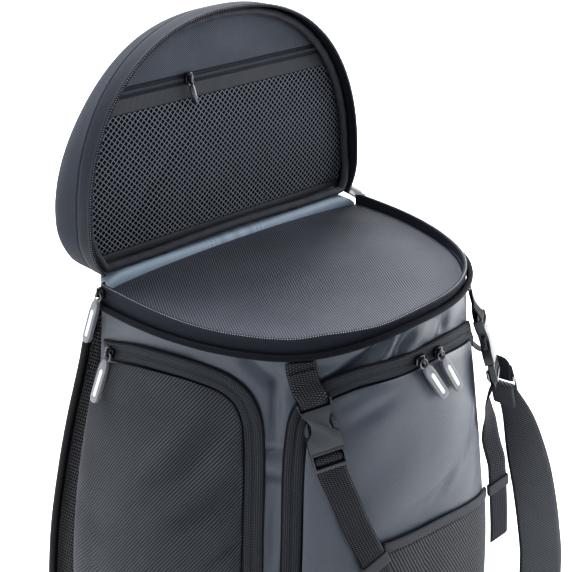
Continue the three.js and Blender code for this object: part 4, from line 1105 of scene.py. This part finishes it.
def makeLidBinding():
    radius = binding["radius"]
    q = pullIn(lidLoop, shape["clothWall"] + binding["gap"] + radius)
    q[:, 1] = np.maximum(q[:, 1], radius + binding["low"])
    path = lidPoint(*q.T, lerp(*binding["deep"], smoothStep(lidLoop[:, 1], *binding["deepOver"])))
    path = evenSteps(np.vstack([path, path[:1]]), binding["steps"], endpoint=False)
    made = tubeMesh(path, radius, binding["sides"], loop=True, ripple=pucker)
    addPiece("lidBinding", made, "bindingTape", "piping", "lid_binding")


# Inner face of the lid: lining above, zip and band, net below
lidFace = {
    "deep": 19.6, "up": 3, "inset": 2.4, "endGap": 1,
    "panels": {  # lowest, highest, rows, columns, thickness
        "lidUpper": (160.8, 208, 40, 160, 1.4), "lidBand": (136.8, 151.2, 9, 120, 1.0),
        "lidZipTape": (151.6, 160.4, 15, 120, 1.2)},
    "liningSpan": (160, 209), "liningSag": 1.5, "liningWave": 1.3, "liningSteps": (17, 9), "liningProud": 0.3,
    "bandSpan": (136.6, 151.4), "bandRoll": 0.5, "zipV": 156, "zipRise": (0.2, 0.7, 1.6),
    "coil": (1.5, 1.1, 3.4, 0.9), "coilSteps": 60, "coilProud": 2.2,
}
net = {
    "pitch": 4.2, "radius": 0.5, "sides": 5, "span": (3.0, 136.4), "reach": 340, "knot": 0.28, "behind": 0.7,
    "sag": 4.0, "sagSpan": (2, 138), "slack": 1.6, "slackAt": (-95, 55), "slackWay": (0.75, 0.66), "slackWide": 9,
    "slackSpan": (6, 120),
}
hem = {"v": 7.6, "halfAt": 8.0, "steps": 120, "wide": 9.4, "thick": 1.6, "crown": 0.8, "proud": 1.3}
towardsFront = np.array([0, -1.0, 0])


def panelHalf(v):
    up = np.minimum(np.asarray(v, float) + lidFace["up"], lid["height"] - lidFace["up"])
    return archHalf(up) - shape["clothWall"] - lidFace["inset"]


def liningSag(u, v, f):
    across, upward = lidFace["liningSteps"]
    sag = lidFace["liningSag"] * (1 - f * f) * hump(v, *lidFace["liningSpan"], 0.8)
    wave = lidFace["liningWave"] * np.sin(u / across + v / upward) * hump(v, *lidFace["liningSpan"], 1)
    return np.maximum(sag + wave * (1 - f ** 4), -lidFace["liningProud"])


def bandRoll(u, v, f):
    return lidFace["bandRoll"] * hump(v, *lidFace["bandSpan"], 0.3)


def zipRidge(u, v, f):
    low, high, wide = lidFace["zipRise"]
    return low + high * np.exp(-((v - lidFace["zipV"]) / wide) ** 2)


def makeLidPanel(name, bulge, finish, slot, node):
    low, high, rows, columns, thick = lidFace["panels"][name]
    v = np.linspace(low, high, rows)
    half = panelHalf(v)[:, None]
    u, v = np.linspace(-1, 1, columns)[None] * half, np.broadcast_to(v[:, None], (rows, columns))
    deep = lidFace["deep"] - bulge(u, v, u / np.maximum(half, 1))
    face = lidPoint(u, v, deep - thick)
    made = wallMesh(face, lidPoint(u, v, deep), np.stack([u, v], -1) * mm)
    return addPiece(name, made, finish, slot, node), face


def makeLidPanels():
    asSheet(*makeLidPanel("lidUpper", liningSag, "liningCloth", "twill", "lid_upper_panel"), ["lidCloth"])
    makeLidPanel("lidBand", bandRoll, "grosgrain", "webbing", "lid_pocket_band")
    makeLidPanel("lidZipTape", zipRidge, "rimTape", "ziptape", "lid_pocket_zip")
    reach = float(panelHalf(lidFace["zipV"])) - lidFace["endGap"]
    u = np.linspace(-reach, reach, lidFace["coilSteps"])
    line = lidPoint(u, lidFace["zipV"], lidFace["deep"] - lidFace["coilProud"])
    addRow("lidZipCoil", [(line, towardsFront)], lidFace["coil"], 2, "blueCoil", "ziptape")


def netDeep(u, v):  # the net bellies out between its edges, with slack folds low on the left
    f = np.clip(u / panelHalf(v), -1, 1)
    sag = net["sag"] * (1 - f * f) * hump(v, *net["sagSpan"], 0.8)
    (u0, v0), (a, b) = net["slackAt"], net["slackWay"]
    slack = net["slack"] * np.exp(-(((u - u0) * a - (v - v0) * b) / net["slackWide"]) ** 2)
    return lidFace["deep"] - net["behind"] - sag + slack * hump(v, *net["slackSpan"], 1) * (1 - f ** 8)


def makeLidNet():
    lines = []
    low, high = net["span"]
    cell = net["pitch"] / math.sqrt(2)
    v = np.arange(low, high + cell / 4, cell / 2)
    for lean in (1, -1):
        for start in np.arange(-net["reach"], net["reach"] + 1, net["pitch"] * math.sqrt(2)):
            u = start + lean * (v - low)
            inside = np.flatnonzero(np.abs(u) < panelHalf(v))
            if len(inside) < 3:
                continue
            part = slice(inside[0], inside[-1] + 1)
            knot = net["knot"] * lean * np.cos(np.pi * (v[part] - low) / cell)
            lines.append((lidPoint(u[part], v[part], netDeep(u[part], v[part]) + knot), towardsFront))
    addStrands("lidNet", lines, net["radius"], net["sides"], "netThread", "mesh", "lid_mesh")


def makeNetHem():
    u = np.linspace(-1, 1, hem["steps"]) * (float(panelHalf(hem["halfAt"])) - lidFace["endGap"])
    path = lidPoint(u, hem["v"], netDeep(u, np.full(len(u), hem["v"])) - hem["proud"])
    made = tapeMesh(path, np.tile([0, 0, -1.0], (len(u), 1)), hem["wide"], hem["thick"], crown=hem["crown"])
    addPiece("netHem", made, "bindingTape", "mesh")


makeLidShell()
makeLidRim()
makeLidBinding()
makeLidPanels()
makeLidNet()
makeNetHem()
print("lid made")


# Pocket zips: tape over the skin, raised beside its middle, a low coil there and black cords along its edges as
# painted shadow in the gaps
zips = {
    "side": [(-90, 431), (-83, 440), (-74, 445), (-65, 446), (-57, 442), (-52, 432), (-49, 414), (-48, 390),
             (-46.6, 290), (-45.6, 200), (-45, 50)],
    "frontHalf": [(-32.6, 50), (-33.4, 200), (-34.6, 290), (-36, 390), (-34.6, 420), (-30, 437), (-22, 446),
                  (-10, 451), (0, 452)],
    "steps": 320, "frontMore": 120, "columns": 21, "lift": 0.95, "thick": 1.2, "rise": 1.3, "risePower": 0.6,
    # seam is the radius of the black cords that paint the shadow beside each zip
    "coil": (1.9, 1.1, 1.3, 0.9), "coilOut": 1.3, "seam": 0.8, "gapShadowSides": 6, "seamGap": 0.2, "gapShadowOut": 0.7,
}
sideZip = pathOn(zips["side"], zips["steps"])
frontRows = zips["frontHalf"] + [(-t, z) for t, z in zips["frontHalf"][-2::-1]]
levelZip = pathOn(frontRows, zips["steps"] + zips["frontMore"])
frontZip = np.stack([levelZip[:, 0], levelZip[:, 1] - pocketSink(*levelZip.T)], -1)


def makeZip(name, path, node):
    across, half, lift = np.linspace(-1, 1, zips["columns"]), shape["zipWide"] / 2, zips["lift"]
    rise = zips["thick"] + zips["rise"] * np.sin(np.pi * np.abs(across)).clip(0) ** zips["risePower"]
    t, z = bandOn(path, across * half)
    made = wallMesh(skin(t, z, lift + rise), skin(t, z, lift), flatUv(across * half, lengthAlong(skin(*path.T))))
    addPiece(name + "Tape", made, "zipTape", "ziptape", node)
    normal = skinFrame(*path.T)[2]
    addRow(name + "Coil", [(skin(*path.T, lift + zips["coilOut"]), normal)], zips["coil"], 1, "darkCoil", "ziptape")
    # black cords along both edges of the tape: painted shadow in the gaps beside it
    edges = [offsetPath(path, hand * (half + zips["seamGap"])) for hand in (-1, 1)]
    gapShadows = [(skin(*edge.T, lift + zips["gapShadowOut"]), normal) for edge in edges]
    addStrands(name + "Seam", gapShadows, zips["seam"], zips["gapShadowSides"], "gapShadowBlack", "ziptape")


makeZip("leftZip", sideZip, "left_pocket_zip")
makeZip("rightZip", sideZip * (-1, 1), "right_pocket_zip")
makeZip("frontZip", frontZip, "front_pocket_zip")
print("pocket zips made")


# Side pockets: panels that swell inside their zips, a mesh wedge behind the left one
pockets = {
    "gap": 9.2, "edgeLow": 388, "fallFrom": -53, "rearSlip": 15, "slipPower": 2.2, "long": 330,
    "rows": 104, "edgeRows": ((0, 0.004, 0.01), (0.02, 0.985), (0.995, 1)),
    "roll": 5.0, "rollDeep": 1.3, "calm": (2, 30),
    "dents": [
        (-63.5, 379, 58, 48, 9, 6.5), (-73, 366, 58, 46, 9, -2.6), (-59.5, 352, 55, 44, 8, -2.6),
        (-62, 325, 48, 55, 9, 5.6), (-78, 300, 45, 50, 12, 4.0), (-72, 250, 40, 50, 14, 3.6),
        (-80, 400, 20, 40, 10, 1.8), (-54.3, 293, 43, 24, 3.2, 3.0),
    ],
}
wedge = {"top": 290, "rows": 60, "columns": 12, "wide": (1.2, 6.5), "gap": 0.4, "thick": 1.4}
sideLine = offsetPath(sideZip, -pockets["gap"])
sideEdge = sideLine[sideLine[:, 1] > pockets["edgeLow"]]
sideFall = sideLine[sideLine[:, 0] > pockets["fallFrom"]][::-1]


def lineT(z):
    return np.interp(z, sideFall[:, 1], sideFall[:, 0])


def edgeDrift(z):  # how far the panel follows its zip below the upper edge
    return lineT(np.minimum(z, pockets["edgeLow"])) - lineT(pockets["edgeLow"])


def slipAt(v):
    return pockets["rearSlip"] * (1 - (1 - v) ** pockets["slipPower"])


def makeSidePocket(side, hand):
    first, middle, last = pockets["edgeRows"]
    v = np.concatenate([first, np.linspace(*middle, pockets["rows"]), last])[:, None]
    edgeT, edgeZ = sideEdge.T
    rearward = np.maximum(0, (edgeT[-1] - edgeT) / (edgeT[-1] - edgeT[0]))
    z = lerp(edgeZ[None], shape["pocketLow"], v)
    t = edgeT[None] - rearward[None] * slipAt(v) + edgeDrift(z)
    column = lengthAlong(skin(edgeT, edgeZ))
    near = np.minimum(column, column[-1] - column)[None]
    fromEdge = np.minimum(np.minimum(near, v * pockets["long"]), (1 - v) * pockets["long"])
    turned = pockets["rollDeep"] * np.exp(-fromEdge / pockets["roll"])
    out = sideOut(t, z) + pressed(pockets["dents"], t, z) * smoothStep(fromEdge, *pockets["calm"])
    outer, inner = skin(hand * t, z, out + shape["clothWall"] - turned), skin(hand * t, z, out)
    made = wallMesh(outer, inner, skinUv(hand * t, z))
    piece = addPiece(side + "Pocket", made, "basketCloth", "ballistic", side + "_pocket_panel")
    asSheet(piece, outer, [side + "ZipTape"])


def makeRearMesh():
    top, low = wedge["top"], shape["pocketLow"]
    z = np.linspace(top, low, wedge["rows"])
    rear = sideEdge[0, 0] - slipAt((sideEdge[0, 1] - z) / (sideEdge[0, 1] - low)) + edgeDrift(z) - wedge["gap"]
    wide = lerp(*wedge["wide"], (top - z) / (top - low))
    t = rear[:, None] - wide[:, None] * np.linspace(0, 1, wedge["columns"])[None]
    z = np.broadcast_to(z[:, None], t.shape)
    made = wallMesh(skin(t, z, sideOut(t, z) + wedge["thick"]), skin(t, z, sideOut(t, z)), skinUv(t, z))
    addPiece("rearNet", made, "spacerNet", "mesh", "left_pocket_mesh")


makeSidePocket("left", 1)
makeSidePocket("right", -1)
makeRearMesh()


# Front pocket: coated panel with soft dents, net flap with its binding and stitches
frontPocket = {
    "columns": 170, "crowding": 1.15, "edgeTo": -4, "roll": 4.0, "rollDeep": 1.3, "calm": (2, 30),
    "dents": [
        (-8, 372, 70, 40, 20, 2.5), (16, 330, 40, 45, 16, 2.6), (2, 300, 20, 40, 18, 2.2),
        (-20, 300, 80, 60, 12, 1.6), (22, 395, 100, 30, 12, 1.6), (-19.5, 433, 20, 16, 7, 2.6),
        (-12.5, 421, 30, 26, 8, 2.4), (5, 314, 50, 16, 5, 3.0), (9, 322, 50, 16, 6, -1.6),
    ],
}
flap = {
    "edge": [(-9.4, 283.4), (0, 279), (12, 269), (26, 255)], "low": 66, "steps": 120, "rows": 60, "under": 5.6,
    "thick": 1.6, "bindHalf": 5, "bindColumns": 13, "bindThick": 2.4, "bindCrown": 0.6, "bindCurve": 5.2,
    "bindTurn": 0.8, "turnPower": 8, "stitch": (3.4, 2.3, 0.6, 0.5), "stitchRows": (2, 10), "stitchOut": 0.1,
}


def makeFrontPocket():
    edge = offsetPath(levelZip, -pockets["gap"])
    edge = edge[edge[:, 0] < frontPocket["edgeTo"]]
    edge = np.vstack([edge[:-1:2], edge[-1:]])
    f = np.linspace(-1, 1, frontPocket["columns"])
    f = np.sign(f) * (1 - (1 - np.abs(f)) ** frontPocket["crowding"])
    t = -edge[:, :1] * f[None]
    z = np.broadcast_to(edge[:, 1:], t.shape)
    girth = (1 - np.abs(f))[None] * -edge[:, :1] * shape["girthStep"]
    fromEdge = np.minimum(girth, np.minimum(z - z.min(), z.max() - z))
    turned = frontPocket["rollDeep"] * np.exp(-fromEdge / frontPocket["roll"])
    out = frontOut(t, z) + pressed(frontPocket["dents"], t, z) * smoothStep(fromEdge, *frontPocket["calm"])
    low = z - pocketSink(t, z)
    outer, inner = skin(t, low, out + shape["clothWall"] - turned), skin(t, low, out)
    made = wallMesh(outer, inner, skinUv(t, z))
    asSheet(addPiece("frontPocket", made, "slateCloth", "tarp", "front_pocket_panel"), outer, ["frontZipTape"])


def makeFlap():
    path = pathOn(flap["edge"], flap["steps"])
    z = lerp(path[:, 1][None] - flap["under"], flap["low"], np.linspace(0, 1, flap["rows"])[:, None])
    t = np.broadcast_to(path[:, 0][None], z.shape)
    outer, inner = skin(t, z, overFront(t, z) + flap["thick"]), skin(t, z, overFront(t, z))
    made = wallMesh(outer, inner, skinUv(t, z))
    asSheet(addPiece("flapNet", made, "flapNet", "mesh", "flap_panel"), outer, ["frontPocket"])
    half = flap["bindHalf"]
    across = np.linspace(-half, half, flap["bindColumns"])
    t, z = bandOn(path, across)
    crown = flap["bindCrown"] * np.sqrt(np.clip(1 - (across / flap["bindCurve"]) ** 2, 0, 1))
    rise = flap["bindThick"] + crown - flap["bindTurn"] * (np.abs(across) / half) ** flap["turnPower"]
    outer, inner = skin(t, z, overFront(t, z) + rise), skin(t, z, overFront(t, z))
    made = wallMesh(outer, inner, flatUv(across, lengthAlong(skin(*path.T))))
    addPiece("flapBinding", made, "bindingTape", "piping", "flap_binding")
    normal = skinFrame(*path.T)[2]
    rows = [(outer[:, k] + normal * flap["stitchOut"], normal) for k in flap["stitchRows"]]
    addRow("flapStitch", rows, flap["stitch"], 1, "greyThread", "piping")


makeFrontPocket()
makeFlap()
print("pockets made")


# Back: padded panel with sewn channels, and piping round its edge
pad = {
    "z": (30, 60, 120, 200, 280, 340, 400, 432, 450), "thick": (9, 22, 32, 33, 31, 27, 19, 13, 8),
    "columns": 116, "rows": 116, "crowding": 1.6, "reach": 0.965, "least": 3, "behind": 1.6, "fill": 0.7,
    "edgeDrop": 0.16, "edgePower": 6, "swell": 2.2, "swellTurns": 9, "swellSpan": (40, 450),
    "channels": (110, 180, 250, 320, 385), "channelDeep": 4.5, "channelWide": 4.0, "channelBow": 6,
    "channelEnd": (0.02, 0.2), "spineDeep": 5.0, "spineWide": 0.05, "spineSpan": (40, 440), "sideFacing": 0.8,
}
backPipe = {
    "radius": 4.4, "sides": 16, "steps": 360, "gap": 0.7, "sunk": 0.4, "topSunk": 2, "topGap": 1,
    "topReach": 0.88, "topPoints": 6, "corner": ((5.6, -8), (4.4, 2.8), (-4, 5.8)),
}


def padFace(f, z):
    edge = 1 - pad["edgeDrop"] * np.abs(f) ** pad["edgePower"]
    swell = pad["swell"] * np.cos(f * pad["swellTurns"]) * hump(z, *pad["swellSpan"], 0.5)
    return tableAt(sections, "back", z) + tableAt(pad, "thick", z) * edge + swell


def padX(f, z):
    return tableAt(sections, "half", z) * pad["reach"] * f


def makePad():
    side = 1 - (1 - np.linspace(0, 1, pad["columns"] // 2 + 1)) ** pad["crowding"]
    f, z = np.meshgrid(np.concatenate([-side[::-1], side[1:]]), np.linspace(pad["z"][0], pad["z"][-1], pad["rows"]))
    mid, back, power = tableAt(sections, "mid", z), tableAt(sections, "back", z), sections["backPower"]
    near = mid + (back - mid) * (1 - np.abs(f * pad["reach"]) ** power) ** (1 / power) + pad["behind"]
    face = padFace(f, z)
    for line in pad["channels"]:
        sewn = np.exp(-((z - line - pad["channelBow"] * f * f) / pad["channelWide"]) ** 2)
        face = face - pad["channelDeep"] * sewn * smoothStep(1 - np.abs(f), *pad["channelEnd"])
    face = face - pad["spineDeep"] * np.exp(-(f / pad["spineWide"]) ** 2) * hump(z, *pad["spineSpan"], 0.3)
    face = np.maximum(face, near + pad["least"])
    x = padX(f, z)
    mesh = wallMesh(np.stack([x, face, z], -1), np.stack([x, near, z], -1), np.stack([x, z], -1) * mm)
    layer = mesh.uv_layers["cloth"].data
    for wall in mesh.polygons:  # the side walls take their cloth coordinates from depth and height
        if abs(wall.normal.x) > pad["sideFacing"]:
            for corner in wall.loop_indices:
                p = mesh.vertices[mesh.loops[corner].vertex_index].co
                layer[corner].uv = (p.y, p.z)
    addPiece("backPad", mesh, "spacerNet", "mesh", "back_panel")


def makeBackPiping():
    r, top, sunk = backPipe["radius"], pad["z"][-1], backPipe["topSunk"]

    def edge(hand):
        z = np.array(pad["z"][:-1], float)
        f = np.full(len(z), float(hand))
        side = np.stack([padX(f, z) + hand * (r + backPipe["gap"]), padFace(f, z) - r * backPipe["sunk"], z], -1)
        corner = [(padX(hand, top) + hand * s, padFace(hand, top) - sunk, top + up) for s, up in backPipe["corner"]]
        return np.vstack([side, corner])

    f = np.linspace(-backPipe["topReach"], backPipe["topReach"], backPipe["topPoints"])
    over = np.stack([padX(f, top), padFace(f, top) - sunk, np.full(len(f), top + r + backPipe["topGap"])], -1)
    path = smoothPath(np.vstack([edge(-1), over, edge(1)[::-1]]), backPipe["steps"])
    addPiece("backPiping", tubeMesh(path, r, backPipe["sides"]), "blackPiping", "piping", "back_piping")


makePad()
makeBackPiping()
print("back made")


# Front straps: doubled webbing, side release buckles, running ends and elastic keepers
straps = {
    "left": {
        "t": -28, "z": 394, "out": 9, "turn": 18, "lean": -4, "lift": (2.6, 6.2), "swing": 0, "keeper": 280,
        "rise": [(-35.8, 466.4), (-35.5, 459), (-34.3, 447)],
        "run": [(-24.2, 362), (-20.8, 340), (-16.4, 308), (-13, 284), (-10.4, 262), (-8, 236), (-6, 210)]},
    "right": {
        "t": 31.5, "z": 398, "out": 16, "turn": -7, "lean": -13, "lift": (9.4, 13.6), "swing": -30, "keeper": 263,
        "rise": [(36, 477.4), (35.7, 465), (35.2, 452)],
        "run": [(30, 358), (29.4, 330), (28.6, 300), (28, 274), (28.4, 245), (29, 218), (29.6, 193)]},
}
web = {  # loops round the buckle's bars: up and out from the buckle's middle
    "upper": [(48, 1.0), (42.4, 1.1), (40, 2.2), (39.3, 4.4), (40, 6.6), (42.4, 7.8), (47, 6.8)],
    "lower": [(-26, 2.6), (-17, 2.7), (-14, 3.3), (-12.7, 5), (-11.6, 6.9), (-10.2, 7.3), (-8.6, 7.3), (-7.2, 6.9),
              (-6.1, 5), (-6.2, 2.2), (-7.8, 0.9), (-17, 0.7), (-24, 0.6)],
    "upperSteps": 110, "lowerSteps": 240, "runPoints": 13, "layers": (1.6, 3.4), "bow": 0.06,
    "liftOver": (288, 316), "swingOver": (0, 40), "sideWeight": 40,
}
keeper = {
    "long": 12, "thick": 1.2, "halfWide": 12.9, "halfHigh": 1.1, "sides": 56, "rows": 9, "powers": (0.16, 0.35),
    "softness": 0.7, "softPower": 6, "softLeast": 0.05, "close": 2,
}
buckle = {"ease": 0.55, "segments": 3}


def skinPlace(t, z, out, turn, lean):  # x across, y up and z out from the skin, then turned and leant
    up, normal = skinFrame(t, z)[1:]
    y = unit(up - normal * (up @ normal))
    spot = Matrix((np.cross(y, normal), y, normal)).transposed().to_4x4()
    spot.translation = skin(t, z, out)
    return spot @ Matrix.Rotation(math.radians(turn), 4, "Z") @ Matrix.Rotation(math.radians(lean), 4, "X")


def onFrame(spot, rows):
    return np.array([spot @ Vector((0, y, z)) for y, z in rows])


def sidesOn(path, like):
    side = unit(skin(*offsetPath(path, 1).T) - skin(*path.T))
    return side * np.sign((side * like).sum(-1, keepdims=True))


def turnedFlat(v, angle):  # directions turned about the upright
    c, s = np.cos(angle), np.sin(angle)
    return np.stack([v[:, 0] * c - v[:, 1] * s, v[:, 0] * s + v[:, 1] * c, v[:, 2]], -1)


def addWeb(name, points, sides, count, node):  # path and its width direction, smoothed together
    both = smoothPath(np.hstack([points, np.asarray(sides) * web["sideWeight"]]), count)
    made = tapeMesh(both[:, :3], unit(both[:, 3:]), shape["webWide"], shape["webThick"])
    addPiece(name, made, "webbing", "webbing", node)


def makeKeeper(name, middle, down, side):
    side = unit(side - down * (side @ down))
    face = np.cross(side, down)
    thick = keeper["thick"] / 2
    w, h = keeper["halfWide"] + thick, keeper["halfHigh"] + thick
    turns = np.linspace(0, 2 * np.pi, keeper["sides"], endpoint=False)
    c, s = np.cos(turns)[:, None], np.sin(turns)[:, None]
    flatter, rounder = keeper["powers"]
    loop = middle + powered(c, flatter) * w * side + powered(s, rounder) * h * face
    ways = unit(np.hstack([c * h, s * w]))
    outs = ways[:, :1] * side + ways[:, 1:] * face
    along = np.linspace(-0.5, 0.5, keeper["rows"]) * keeper["long"]
    drop = np.abs(along / along[-1]) ** keeper["softPower"] * keeper["softness"]
    soft = thick * np.sqrt(np.clip(1 - drop, keeper["softLeast"], 1))
    rings = loop[None] + along[:, None, None] * down
    puffed = soft[:, None, None] * outs[None]
    girth = lengthAlong(loop)
    uv = flatUv(np.append(girth, girth[-1] + keeper["close"]), along)[..., ::-1]
    made = wallMesh(rings + puffed, rings - puffed, uv, around=True)
    addPiece("strapKeeper_" + name, made, "grosgrain", "webbing", "strap_keeper_" + name)


def makeStrap(name, strap):
    spot = skinPlace(strap["t"], strap["z"], strap["out"], strap["turn"], strap["lean"])
    xAxis = np.array(spot.to_3x3() @ Vector((1, 0, 0)))
    rise = np.array(strap["rise"], float)
    bow = strap["out"] * web["bow"] * np.arange(len(rise)) ** 2
    inner, outer = (skin(*rise.T, out + bow) for out in web["layers"])
    riseSides = sidesOn(rise, xAxis)
    points = np.vstack([inner, onFrame(spot, web["upper"]), outer[1:][::-1]])
    sides = np.vstack([riseSides, np.tile(xAxis, (len(web["upper"]), 1)), riseSides[1:][::-1]])
    addWeb("upperStrap_" + name, points, sides, web["upperSteps"], "strap_upper_" + name)

    run = pathOn(strap["run"], web["runPoints"])
    near, far = strap["lift"]
    lift = lerp(far, near, smoothStep(run[:, 1], *web["liftOver"]))
    runPoints = skin(*run.T, overFront(*run.T) + lift)
    swung = math.radians(strap["swing"]) * smoothStep(strap["run"][0][1] - run[:, 1], *web["swingOver"])
    runSides = turnedFlat(sidesOn(run, xAxis), swung)
    points = np.vstack([onFrame(spot, web["lower"]), runPoints])
    sides = np.vstack([np.tile(xAxis, (len(web["lower"]), 1)), runSides])
    addWeb("lowerStrap_" + name, points, sides, web["lowerSteps"], "strap_lower_" + name)

    k = 1 + int(np.argmin(np.abs(run[1:-1, 1] - strap["keeper"])))
    makeKeeper(name, runPoints[k], unit(runPoints[k + 1] - runPoints[k - 1]), runSides[k])
    for part in ("female", "male"):
        addHard("buckle_" + part + "_" + name, "buckleResin", "plastic", buckle["ease"], buckle["segments"])


for name, strap in straps.items():
    makeStrap(name, strap)
print("front straps made")


# Zip sliders, pullers and their white inserts
sliders = {
    "places": ("lid_left", "lid_right", "left_pocket", "front_left", "front_right"),
    "parts": (("slider", "sliderLacquer", "slider", 0.35), ("pull", "pullRubber", "rubber", 0.6),
              ("insert", "whiteInsert", "insert", 0.3)),  # part, finish, slot, eased edge
    "small": ("lid_pocket_slider", "lid_pocket_pull"), "smallEase": 0.3,
}
for place in sliders["places"]:
    for part, finish, slot, ease in sliders["parts"]:
        addHard(place + "_" + part, finish, slot, ease)
for node in sliders["small"]:
    addHard(node, "sliderLacquer", "slider", sliders["smallEase"])
print("sliders made")


# Shoulder strap at the right side: wire ring, sewn loop and the strap itself
shoulder = {
    "ringAt": (164, -113, 350), "turn": 12, "ringUp": (-0.42, 0.05, 0.9),
    "wide": 15.5, "high": 8, "wire": 1.9, "wireSides": 14, "corner": 4, "cornerSteps": 9,
    "fold": [(34, -2.9), (12, -2.9), (7, -2.9), (5, -1.8), (4.4, 0), (5, 1.8), (7, 2.9), (12, 2.9), (26, 1.2)],
    "anchor": [(43, 410), (43.4, 398)], "anchorOut": 4.7, "anchorFace": (43.0, 404.0), "anchorSteps": 120,
    "rows": [(184, -121, 306, 14, 36), (197, -127, 258, 22, 44), (206, -133, 215, 30, 44), (214, -138, 168, 36, 44),
             (221, -141, 119, 37, 44), (226, -136, 70, 26, 44), (219, -118, 34, 4, 44),
             (200, -102, 18, -18, 44)],  # place, turn and width
    "end": [(56, 22, 2), (56, 34, 1.5)], "endFace": (56.0, 30.0), "thick": 2, "steps": 300, "columns": 13,
}


def strapAcross(turn):
    return np.array([-math.sin(math.radians(turn)), math.cos(math.radians(turn)), 0])


def makeShoulder():
    ringX = strapAcross(shoulder["turn"])
    ringUp = np.array(shoulder["ringUp"])
    ringY = unit(ringUp - ringX * (ringUp @ ringX))
    spot = Matrix((ringX, ringY, np.cross(ringX, ringY))).transposed().to_4x4()
    spot.translation = shoulder["ringAt"]
    loop, corner = [], shoulder["corner"]
    for sx, sy, start in ((1, 1, 0), (-1, 1, 90), (-1, -1, 180), (1, -1, 270)):
        for turn in np.linspace(0, 90, shoulder["cornerSteps"]):
            a = math.radians(start + turn)
            x = sx * (shoulder["wide"] - corner) + corner * math.cos(a)
            y = sy * (shoulder["high"] - corner) + corner * math.sin(a)
            loop.append(spot @ Vector((x, y, 0)))
    ring = tubeMesh(np.array(loop), shoulder["wire"], shoulder["wireSides"], loop=True)
    addPiece("wireRing", ring, "brightSteel", "steel", "shoulder_ring")

    fold = onFrame(spot, shoulder["fold"])
    points = np.vstack([skin(*np.array(shoulder["anchor"]).T, shoulder["anchorOut"]), fold])
    side = unit(skinFrame(*shoulder["anchorFace"])[0])
    sides = np.vstack([[side, side], np.tile(ringX, (len(fold), 1))])
    addWeb("sewnLoop", points, sides, shoulder["anchorSteps"], "shoulder_anchor")

    fold = onFrame(spot, [(-y, z) for y, z in shoulder["fold"]])[:-1]
    rows = np.array(shoulder["rows"], float)
    end = np.array([skin(*row) for row in shoulder["end"]])
    side = unit(skinFrame(*shoulder["endFace"])[0])
    points = np.vstack([fold, rows[:, :3], end])
    sides = np.vstack([np.tile(ringX, (len(fold), 1)), [strapAcross(turn) for turn in rows[:, 3]], [side, side]])
    wides = np.concatenate([np.full(len(fold), shape["webWide"]), rows[:, 4], rows[-1:, 4], rows[-1:, 4]])
    both = smoothPath(np.hstack([points, sides * web["sideWeight"], wides[:, None]]), shoulder["steps"])
    made = tapeMesh(both[:, :3], unit(both[:, 3:6]), both[:, 6], shoulder["thick"], columns=shoulder["columns"])
    addPiece("shoulderStrap", made, "strapTwill", "webbing", "shoulder_strap")


makeShoulder()
print("shoulder strap made")
